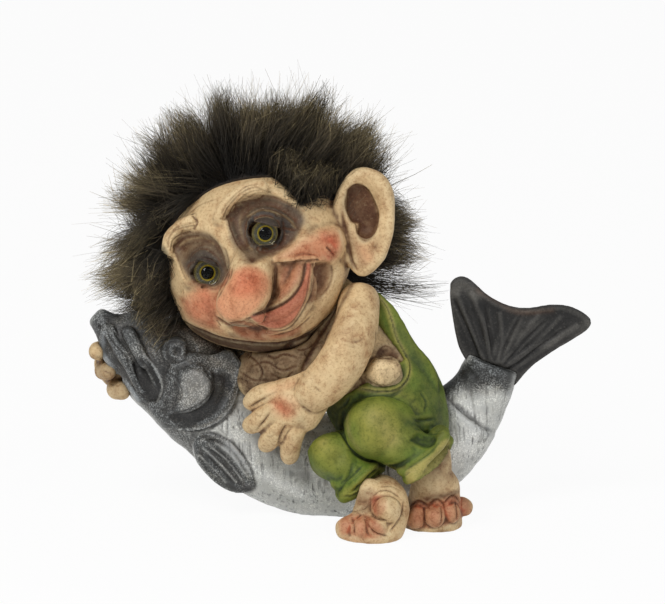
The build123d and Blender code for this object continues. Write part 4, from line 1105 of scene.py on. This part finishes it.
tailFin = {
    "nodes": ["tail_fin"], "grain": 0.36 * mm, "rough": [(4, 0.15, 53)],
    "strokes": """
    raise 3 0.5: 486,366 474,336 458,296
    raise 3 0.5: 492,362 486,332 472,294
    raise 3 0.5: 498,362 502,336 500,314
    raise 3 0.5: 502,362 520,338 538,316
    raise 3 0.5: 506,366 532,346 560,318
    raise 3 0.5: 508,372 540,352 576,326
    crease 1.8 0.6 0.9: 488,372 478,340 464,302
    crease 1.8 0.6 0.9: 493,368 490,335 484,306
    crease 1.8 0.6 0.9: 498,366 508,340 520,316
    crease 1.8 0.6 0.9: 502,368 524,342 548,318
    crease 1.8 0.6 0.9: 505,374 532,352 568,326
    crease 1.6 0.5 0.8: 482,364 468,330 454,300
    raise 3 0.4: 452,286 462,281 474,288 486,298 504,308 530,310 560,308 578,314 588,322
    tint 6 0.45 black: 462,318 468,346 480,366
    tint 7 0.12 dryBrush: 500,352 516,334 536,322
    tint 5 0.15 dryBrush: 544,348 566,334 586,324
    tint 5 0.35 dryBrush: 454,292 464,286 476,296
    tint 3 0.35 earthy: 478,290 492,300 520,312 552,310
    """}


def makeFish():
    body = Clay("wholeFish", wholeFish["nodes"], wholeFish["grain"], "silver", 7)
    body.roughen(wholeFish["rough"])
    body.work(wholeFish["forms"], wholeFish["strokes"], wholeFish["colour"], mirror=True)
    # scratches and pearl only where the slate paint ends
    body.mask = ((body.paint.mean(1) - 0.12) / 0.25).clip(0, 1)
    tail = Clay("tailFin", tailFin["nodes"], tailFin["grain"], "coal", 5)
    tail.roughen(tailFin["rough"])
    tail.work(tailFin["strokes"], mirror=True)
    return [body, tail]


# the wash with the painted shade of the broad hollows, and its strength, then how much the crests are rubbed, and in
# which colour
ageingAndShade = {"skin": ("wash", 0.9, 0.28, "pale"), "dungarees": ("moss", 0.9, 0.25, "lime"),
          "fish": ("black", 0.75, 0.22, "iceBlue"), "tailFin": ("black", 0.7, 0.12, "dryBrush")}
# painted shadow where members touch: a member, what it touches, how far the painted shadow runs in millimetres, its
# colour and strength
contactShadows = [("trunk", ["nearArm", "head", "dungarees", "fish"], 3.0, "deep", 0.6),
            ("nearArm", ["trunk", "dungarees", "fish"], 1.6, "wash", 0.7),
            ("farArm", ["fish"], 1.8, "deep", 0.6),
            ("frontFoot", ["fish", "dungarees", "backFoot"], 1.8, "wash", 0.6),
            ("backFoot", ["dungarees", "frontFoot"], 1.8, "wash", 0.6),
            ("dungarees", ["frontFoot", "backFoot", "fish", "nearArm", "trunk"], 1.8, "deep", 0.6),
            ("fish", ["nearArm", "farArm", "trunk", "dungarees", "head"], 2.2, "black", 0.6)]


eyes = {"pupil": 1.24 * mm, "ring": 1.50 * mm, "middle": 2.05 * mm, "iris": 2.85 * mm}


def eyeGlass():
    f = Finish("clearEyeGlass")
    return f.set(colour=(0.94, 0.96, 0.9, 1), roughness=0.02, transmission=1.0, ior=1.45, shine=(0.35, 0.35, 0.35, 1))


def eyeBack(side):
    f = Finish(side + "EyePaint")
    spot = f.node("ShaderNodeTexCoord", output="Object")
    centre = tuple(headSpot(*trollHead["eyes"][side]))
    away = f.node("ShaderNodeVectorMath", {"operation": "SUBTRACT"}, {0: spot, 1: centre})
    gap = f.node("ShaderNodeVectorMath", {"operation": "CROSS_PRODUCT"}, {0: away, 1: trollHead["gaze"]})
    gap = f.node("ShaderNodeVectorMath", {"operation": "LENGTH"}, {0: gap}, 1)
    fleck = f.noise(2500, 3, 0.6)
    inner = f.mix(fleck, (0.06, 0.06, 0.04, 1), (0.40, 0.39, 0.30, 1))
    iris = f.mix(f.band(gap, eyes["middle"] * 0.94, eyes["middle"] * 1.04), inner, (0.50, 0.40, 0.14, 1))
    iris = f.mix(f.band(gap, eyes["iris"] * 0.95, eyes["iris"] * 1.03), iris, (0.010, 0.008, 0.006, 1))
    tone = f.mix(f.band(gap, eyes["ring"] * 0.95, eyes["ring"] * 1.04), (0.95, 0.70, 0.04, 1), iris)
    tone = f.mix(f.band(gap, eyes["pupil"] * 0.97, eyes["pupil"] * 1.03), (0.001, 0.001, 0.001, 1), tone)
    return f.set(colour=tone, roughness=f.band(fleck, 0.2, 0.8) * 0.1 + 0.5, specular=0.0)


def makeEyes():
    glass = eyeGlass()
    for side in ("left", "right"):
        for node, material in ((side + "_eye_glass", glass), (side + "_eye_back", eyeBack(side))):
            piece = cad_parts[node]
            piece.data.materials.clear()
            piece.data.materials.append(material)


fur = {
    "strands": 46000, "clumps": 1150, "largeTufts": 105, "points": 4, "root": 0.095 * mm, "tip": 0.026 * mm,
    "perPiece": 10400,
    "length": 25 * mm, "centre": (-26.07 * mm, -6.27 * mm, 85.6 * mm), "face": (-0.342, -0.94, 0.0),
    "flyaways": 0.10, "guards": 0.09,
    # how far directions scatter, and the shares of the wanted outline that are reached
    "tuftScatter": 0.30, "tuftReach": (0.90, 1.06), "clumpScatter": 0.25, "clumpReach": (0.70, 0.96),
    "hairScatter": 0.22,
    "aimScatter": 0.22, "sweep": (0.25, 0.5), "frontFrom": 0.35,  # how much fur is swept back, and more near the face
    "lengthSpread": (0.8, 1.2), "widthSpread": (0.8, 1.2), "strayLength": (0.9, 1.12), "hairLength": (0.62, 1.02),
    "sideFrom": 0.3, "awayFrom": 0.03,  # only fur that shows sideways, and away from the middle, is fitted
    "gathered": (0.5, 0.93),  # how far clumps are drawn into their tufts
    "strayGather": (0, 0.25), "hairGather": (0.55, 0.95), "drawnGather": (0.7, 0.95),
    "hairTone": (0.4, 1.3), "clumpTone": (0.25, 1.9),
    "fringeLift": 0.3, "fringeScatter": 0.14, "fringeSunk": 0.2 * mm,
    "shortest": 0.010, "longest": 0.042, "tipScatter": 0.0011, "droop": 0.0015, "bow": 0.0017, "clumpBow": 0.0022,
    "strayWidth": 0.8, "guardWidth": 1.9, "paler": 1.9,
    # fur that hangs another way: where its roots show in the photograph, which way it runs there, its length in pixels,
    # and the share of clumps
    "tufts": [([(120, 200), (190, 220), (180, 330), (110, 330)], (-0.8, 0.55), (50, 92), 0.8),
              ([(150, 150), (230, 170), (180, 215), (130, 200)], (-0.9, -0.12), (50, 90), 0.5),
              ([(372, 170), (420, 200), (420, 300), (360, 300)], (0.85, 0.5), (55, 108), 0.65),
              ([(340, 120), (400, 150), (385, 180), (340, 170)], (0.35, -0.9), (45, 80), 0.6)],
    # hair that lies over the temple: where it grows on the head, which way it runs, how many and how long
    "fringe": [([(270, 176), (286, 188), (298, 203), (302, 206), (300, 190), (285, 176)], (0.15, -0.95), 700, (16, 34)),
               ([(300, 206), (320, 197), (334, 188), (346, 177), (340, 168), (300, 172), (292, 180)],
                (0.45, -0.8), 2200, (18, 40)),
               ([(158, 246), (169, 256), (170, 290), (179, 310), (182, 318), (170, 316), (156, 296)],
                (-0.55, 0.85), 2200, (22, 52))],
    "limit": 0.0094, "limitShare": 0.028,
    "tones": [(0.0, (0.005, 0.004, 0.003)), (0.4, (0.020, 0.016, 0.010)), (0.75, (0.085, 0.067, 0.042)),
              (1.0, (0.225, 0.180, 0.095))],
    # how far the fur reaches from the head's middle, in pixels, going round from the right and over the top
    "reach": [(-60, 150), (-30, 196), (-17, 212), (-8, 196), (0, 174), (8, 164), (26, 164), (36, 160), (44, 174),
              (51, 202), (57, 176), (64, 172), (69, 198), (74, 190), (82, 172), (88, 176), (96, 178), (101, 190),
              (107, 202), (114, 196), (125, 188), (136, 196), (147, 210), (154, 198), (163, 188), (174, 182),
              (186, 182), (196, 174), (210, 146), (240, 120)],
    "panels": ["hair_crown", "hair_back", "hair_left", "hair_right"],
}


def wantedReach(angle):
    turns, pixels = zip(*fur["reach"])
    return float(np.interp((angle + 90) % 360 - 90, turns, pixels)) * pixel


def unit(rows):
    return rows / (np.linalg.norm(rows, axis=1)[:, None] + 1e-12)


def hideSampler(rng):  # random places on the outer side of the wig's hide
    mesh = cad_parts["wig_backing"].data
    mesh.calc_loop_triangles()
    count = len(mesh.loop_triangles)
    corners = np.empty(count * 3, int)
    mesh.loop_triangles.foreach_get("vertices", corners)
    places = np.empty(len(mesh.vertices) * 3)
    mesh.vertices.foreach_get("co", places)
    corner = places.reshape(-1, 3)[corners.reshape(-1, 3)]
    cross = np.cross(corner[:, 1] - corner[:, 0], corner[:, 2] - corner[:, 0])
    away = unit(corner.mean(1) - np.array(fur["centre"]))
    weight = np.where((unit(cross) * away).sum(1) > 0.3, np.linalg.norm(cross, axis=1), 0)

    def scatter(number):
        pick = rng.choice(count, number, p=weight / weight.sum())
        r, s = rng.random((2, number))
        flip = r + s > 1
        r, s = np.where(flip, 1 - r, r), np.where(flip, 1 - s, s)
        c = corner[pick]
        return c[:, 0] + (c[:, 1] - c[:, 0]) * r[:, None] + (c[:, 2] - c[:, 0]) * s[:, None]
    return scatter


def strandPiece(name, roots, tips, bows, widths, colour, profile):  # many three-sided hairs as one mesh
    shape = bpy.data.curves.new(name + "Strands", "CURVE")
    shape.dimensions, shape.bevel_mode, shape.bevel_object = "3D", "OBJECT", profile
    shape.resolution_u, shape.use_fill_caps = 1, False
    count = fur["points"]
    shares = np.linspace(0, 1, count)
    for root, tip, bow, width in zip(roots, tips, bows, widths):
        spline = shape.splines.new("POLY")
        spline.points.add(count - 1)
        line = root + (tip - root) * shares[:, None] + bow * (4 * shares * (1 - shares))[:, None]
        spline.points.foreach_set("co", np.concatenate([line, np.ones((count, 1))], 1).ravel())
        spline.points.foreach_set("radius", width * (fur["root"] * (1 - shares) + fur["tip"] * shares))
    holder = addObject(name + "Curve", shape)
    strands = asBuilt(holder)
    bpy.data.objects.remove(holder)
    sides = len(strands.vertices) // (len(roots) * count)
    layer = strands.color_attributes.new("paint", "FLOAT_COLOR", "POINT")
    spread = np.repeat(colour.reshape(-1, 3), sides, axis=0)
    layer.data.foreach_set("color", np.concatenate([spread, np.ones((len(spread), 1))], 1).astype(np.float32).ravel())
    print(name, len(roots), "strands", len(strands.polygons) * 2, "triangles", sides, "sides")
    return strands


def closed(outline):
    return np.array(outline + outline[:1], float)


def fringeHairs(head, rng, share):  # roots on the temple, with their tips
    tree = head.tree()
    side, rise, back = (np.array(a) for a in viewAxes())
    roots, tips = [], []
    for outline, (right, down), number, lengths in fur["fringe"]:
        edge = closed(outline)
        low, high = edge.min(0), edge.max(0)
        spots = rng.uniform(low, high, (number * 6 // share, 2))
        spots = spots[depthInside(spots, edge) > 0][:number // share]
        for u, v in spots:
            place, normal, _, _ = tree.ray_cast(*photoRay(u, v))
            if place is not None:
                lift = np.array(normal) * fur["fringeLift"]
                way = side * right - rise * down + lift + rng.normal(0, fur["fringeScatter"], 3)
                roots.append(np.array(place) - np.array(normal) * fur["fringeSunk"])
                tips.append(roots[-1] + way / np.linalg.norm(way) * rng.uniform(*lengths) * pixel)
    return np.array(roots), np.array(tips)


def nearest(places, others):  # for each place, which of the others is closest
    found = np.empty(len(places), int)
    for start in range(0, len(places), 2000):
        block = places[start:start + 2000]
        found[start:start + 2000] = np.linalg.norm(block[:, None] - others[None], axis=2).argmin(1)
    return found


def withinLimit(roots, tips):  # fur is cut short where it would stand too far out of the built shape's box
    low, high = (np.array(corner) for corner in cadBox)
    room = fur["limit"] + fur["limitShare"] * (high - low)
    reachable = np.where(tips > roots, high + room - roots, roots - low + room) / (np.abs(tips - roots) + 1e-9)
    return roots + (tips - roots) * reachable.min(1).clip(0, 1)[:, None]


def panelTrees():
    trees = {}
    for node in fur["panels"]:
        bm = bmesh.new()
        bm.from_mesh(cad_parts[node].data)
        trees[node] = BVHTree.FromBMesh(bm)
        bm.free()
    return trees


def hairColours(tone):  # dark at the roots and paler to the tips, by a strand's own tone
    shares = np.linspace(0, 1, fur["points"])
    places, shades = zip(*fur["tones"])
    blend = np.stack([np.interp(shares, places, channel) for channel in zip(*shades)], 1)
    return blend[None] * (1 + (tone[:, None, None] - 1) * shares[None, :, None])


def hairSection():  # the triangle that a hair is bevelled with
    ring = bpy.data.curves.new("hairSection", "CURVE")
    ring.dimensions = "2D"
    loop = ring.splines.new("POLY")
    loop.points.add(2)
    for point, turn in zip(loop.points, (90, 210, 330)):
        point.co = (math.cos(math.radians(turn)), math.sin(math.radians(turn)), 0, 1)
    loop.use_cyclic_u = True
    return addObject("hairSection", ring)


def makeFur(material, head):
    rng = np.random.default_rng(11)
    scatter = hideSampler(rng)
    centre, face = np.array(fur["centre"]), np.array(fur["face"])
    side, rise, back = (np.array(a) for a in viewAxes())
    total = fur["strands"] // 1

    def flow(roots, stray):  # outwards, and swept away from the face
        out = unit(roots - centre)
        sweep = unit(-face - out * (out @ -face)[:, None])
        front = np.clip(out @ face + fur["frontFrom"], 0, 1)[:, None]
        always, more = fur["sweep"]
        return unit(out + sweep * (always + more * front) + rng.normal(0, stray, roots.shape))

    def reaching(places, ways, spread):  # lengths that bring the fur to its outline in the photograph
        lengths = fur["length"] * rng.uniform(*fur["lengthSpread"], len(places))
        start = fur["sideFrom"]
        for i, tip in enumerate(places + ways * lengths[:, None]):
            flat = np.array(((tip - centre) @ side, (tip - centre) @ rise))
            inPlane = math.hypot(*flat)
            sideways = 1 - abs(ways[i] @ back)
            want = wantedReach(math.degrees(math.atan2(flat[1], flat[0]))) * rng.uniform(*spread)
            if sideways > start and inPlane > fur["awayFrom"]:
                lengths[i] += (want - inPlane) * min(1, (sideways - start) / start)
        return lengths.clip(fur["shortest"], fur["longest"])

    # large tufts, and small clumps drawn into them
    tuftRoots = scatter(fur["largeTufts"])
    tuftWays = flow(tuftRoots, fur["tuftScatter"])
    tuftTips = tuftRoots + tuftWays * reaching(tuftRoots, tuftWays, fur["tuftReach"])[:, None]
    clumps = fur["clumps"]
    clumpRoots = scatter(clumps)
    clumpWays = flow(clumpRoots, fur["clumpScatter"])
    clumpTips = clumpRoots + clumpWays * reaching(clumpRoots, clumpWays, fur["clumpReach"])[:, None]
    clumpTips += (tuftTips[nearest(clumpRoots, tuftRoots)] - clumpTips) * rng.uniform(*fur["gathered"], clumps)[:, None]
    clumpWays = unit(clumpTips - clumpRoots)
    clumpLengths = np.linalg.norm(clumpTips - clumpRoots, axis=1).clip(fur["shortest"], fur["longest"])
    drawn = np.zeros(clumps, bool)
    spots = photoSpots(clumpRoots)
    for outline, (right, down), lengths, share in fur["tufts"]:
        chosen = (depthInside(spots, closed(outline)) > 0) & (rng.random(clumps) < share)
        count = chosen.sum()
        clumpWays[chosen] = unit(side * right - rise * down + rng.normal(0, fur["aimScatter"], (count, 3)))
        clumpLengths[chosen] = rng.uniform(*lengths, count) * pixel
        drawn |= chosen
    roots = scatter(total)
    near = nearest(roots, clumpRoots)
    stray = rng.random(total) < fur["flyaways"]
    gather = np.where(stray, rng.uniform(*fur["strayGather"], total), rng.uniform(*fur["hairGather"], total))
    gather = np.where(drawn[near], rng.uniform(*fur["drawnGather"], total), gather)[:, None]
    lengths = np.where(stray, rng.uniform(*fur["strayLength"], total), rng.uniform(*fur["hairLength"], total))
    lengths = clumpLengths[near] * lengths
    ownTips = roots + flow(roots, fur["hairScatter"]) * lengths[:, None]
    clumpAim = clumpRoots[near] + clumpWays[near] * lengths[:, None]
    tips = ownTips * (1 - gather) + clumpAim * gather + rng.normal(0, fur["tipScatter"], (total, 3))
    tips[:, 2] -= fur["droop"]
    moreRoots, moreTips = fringeHairs(head, rng, 1)
    more = len(moreRoots)
    roots, tips = np.concatenate([roots, moreRoots]), np.concatenate([tips, moreTips])
    near, stray = np.concatenate([near, rng.integers(0, clumps, more)]), np.concatenate([stray, np.zeros(more, bool)])
    total += more
    guard = rng.random(total) < fur["guards"]  # thicker and paler single hairs
    tips = withinLimit(roots, tips)
    bows = rng.normal(0, fur["bow"], (total, 3)) + rng.normal(0, fur["clumpBow"], (clumps, 3))[near]
    widths = np.where(stray, fur["strayWidth"], 1.0) * np.where(guard, fur["guardWidth"], 1.0)
    widths = widths * rng.uniform(*fur["widthSpread"], total)
    trees = panelTrees()
    owner = np.array([min(trees, key=lambda node: trees[node].find_nearest(Vector(place))[3])
                      for place in roots * 0.9 + tips * 0.1])  # the panel that each strand grows from
    tone = rng.uniform(*fur["hairTone"], total) * rng.uniform(*fur["clumpTone"], clumps)[near]
    tone = tone * np.where(stray | guard, fur["paler"], 1.0)
    colour = hairColours(tone)
    profile = hairSection()
    for node in trees:
        chosen = np.nonzero(owner == node)[0]
        pieces = max(1, math.ceil(len(chosen) / fur["perPiece"]))
        for i, own in enumerate(np.array_split(chosen, pieces)):
            name = node.replace("hair_", "fur_") + str(i)
            strands = strandPiece(name, roots[own], tips[own], bows[own], widths[own], colour[own], profile)
            piece = addObject(name, strands)
            strands.materials.clear()
            strands.materials.append(material)
            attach(piece, "root")
            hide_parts(node)
    bpy.data.objects.remove(profile)
    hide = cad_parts["wig_backing"].data
    hide.materials.clear()
    hide.materials.append(hideFinish())


stage = {"floor": 3.0, "key": (-0.5, -0.9, 1.05), "keySize": 0.55, "keyPower": 11, "fill": (0.9, -0.8, 0.5),
         "fillSize": 0.9, "fillPower": 2.2, "aim": (0, 0, 0.07), "world": 0.36, "floorLight": 0.94}


def makeStage():
    bm = bmesh.new()
    bmesh.ops.create_grid(bm, x_segments=1, y_segments=1, size=stage["floor"])
    mesh = bpy.data.meshes.new("floor")
    bm.to_mesh(mesh)
    bm.free()
    floor = addObject("floor", mesh)
    f = Finish("paleFloor")
    f.set(colour=(0.93, 0.93, 0.93, 1), roughness=0.9)
    light = f.node("ShaderNodeEmission", None, {"Color": (1, 1, 1, 1), "Strength": 1.0})
    path = f.node("ShaderNodeLightPath")
    shown = path
    for seen in ("Is Transmission Ray", "Is Glossy Ray"):
        shown = f.node("ShaderNodeMath", {"operation": "MAXIMUM"},
                       {0: shown, 1: f.node("ShaderNodeLightPath", output=seen)})
    both = f.node("ShaderNodeMixShader", None,
                  {0: shown * stage["floorLight"], 1: Wire(f, f.shader.outputs[0]), 2: light})
    f.tree.links.new(both.socket, f.tree.nodes["Material Output"].inputs["Surface"])
    mesh.materials.append(f.material)
    for name, size, power in (("key", "keySize", "keyPower"), ("fill", "fillSize", "fillPower")):
        lamp = bpy.data.lights.new(name, "AREA")
        lamp.size, lamp.energy = stage[size], stage[power]
        holder = addObject(name, lamp)
        holder.location = stage[name]
        holder.rotation_mode = "QUATERNION"
        holder.rotation_quaternion = (Vector(stage["aim"]) - Vector(stage[name])).to_track_quat("-Z", "Y")
    world = bpy.data.worlds.new("softRoom")
    bpy.context.scene.world = world
    world.use_nodes = True
    nodes, links = world.node_tree.nodes, world.node_tree.links
    shine = nodes["Background"]
    shine.inputs["Color"].default_value = (1, 1, 1, 1)
    shine.inputs["Strength"].default_value = stage["world"]
    plain = nodes.new("ShaderNodeBackground")
    plain.inputs["Strength"].default_value = 1.0
    plain.inputs["Color"].default_value = (1, 1, 1, 1)
    path, both = nodes.new("ShaderNodeLightPath"), nodes.new("ShaderNodeMixShader")
    links.new(path.outputs["Is Camera Ray"], both.inputs[0])
    links.new(shine.outputs[0], both.inputs[1])
    links.new(plain.outputs[0], both.inputs[2])
    links.new(both.outputs[0], nodes["World Output"].inputs["Surface"])
    bpy.context.scene.view_settings.view_transform = "Standard"


makeCamera()
makeStage()
print("camera and floor made")
members = {"head": makeHead()}
print("head sculpted")
members.update(zip(("trunk", "nearArm", "farArm", "frontFoot", "backFoot", "dungarees"), makeBodies()))
print("troll sculpted")
members.update(zip(("fish", "tailFin"), makeFish()))
print("fish sculpted")
trees = {name: clay.tree() for name, clay in members.items()}
for name, others, reach, colour, strength in contactShadows:
    members[name].shadow([trees[other] for other in others], reach, colour, strength)
skin = paintedCasting("paintedSkin", skinFinish)
darkSkin = paintedCasting("darkSkin", chestFinish)
cloth = paintedCasting("paintedGreen", clothFinish)
slate = paintedCasting("slatePaint", slateFinish)
scaly = fishPaint("fishPaint", fishFinish)
for name, clay in members.items():
    wash, strength, light, lightColour = ageingAndShade.get(name, ageingAndShade["skin"])
    clay.ageingAndShade(wash, strength, light, lightColour)
    material, slot = {"trunk": (darkSkin, "skin"), "dungarees": (cloth, "green_cloth"), "fish": (scaly, "fish_silver"),
                      "tailFin": (slate, "fish_slate")}.get(name, (skin, "skin"))
    clay.fire(material, slot)
makeEyes()
makeFur(furFinish(), members["head"])
print("fur grown")
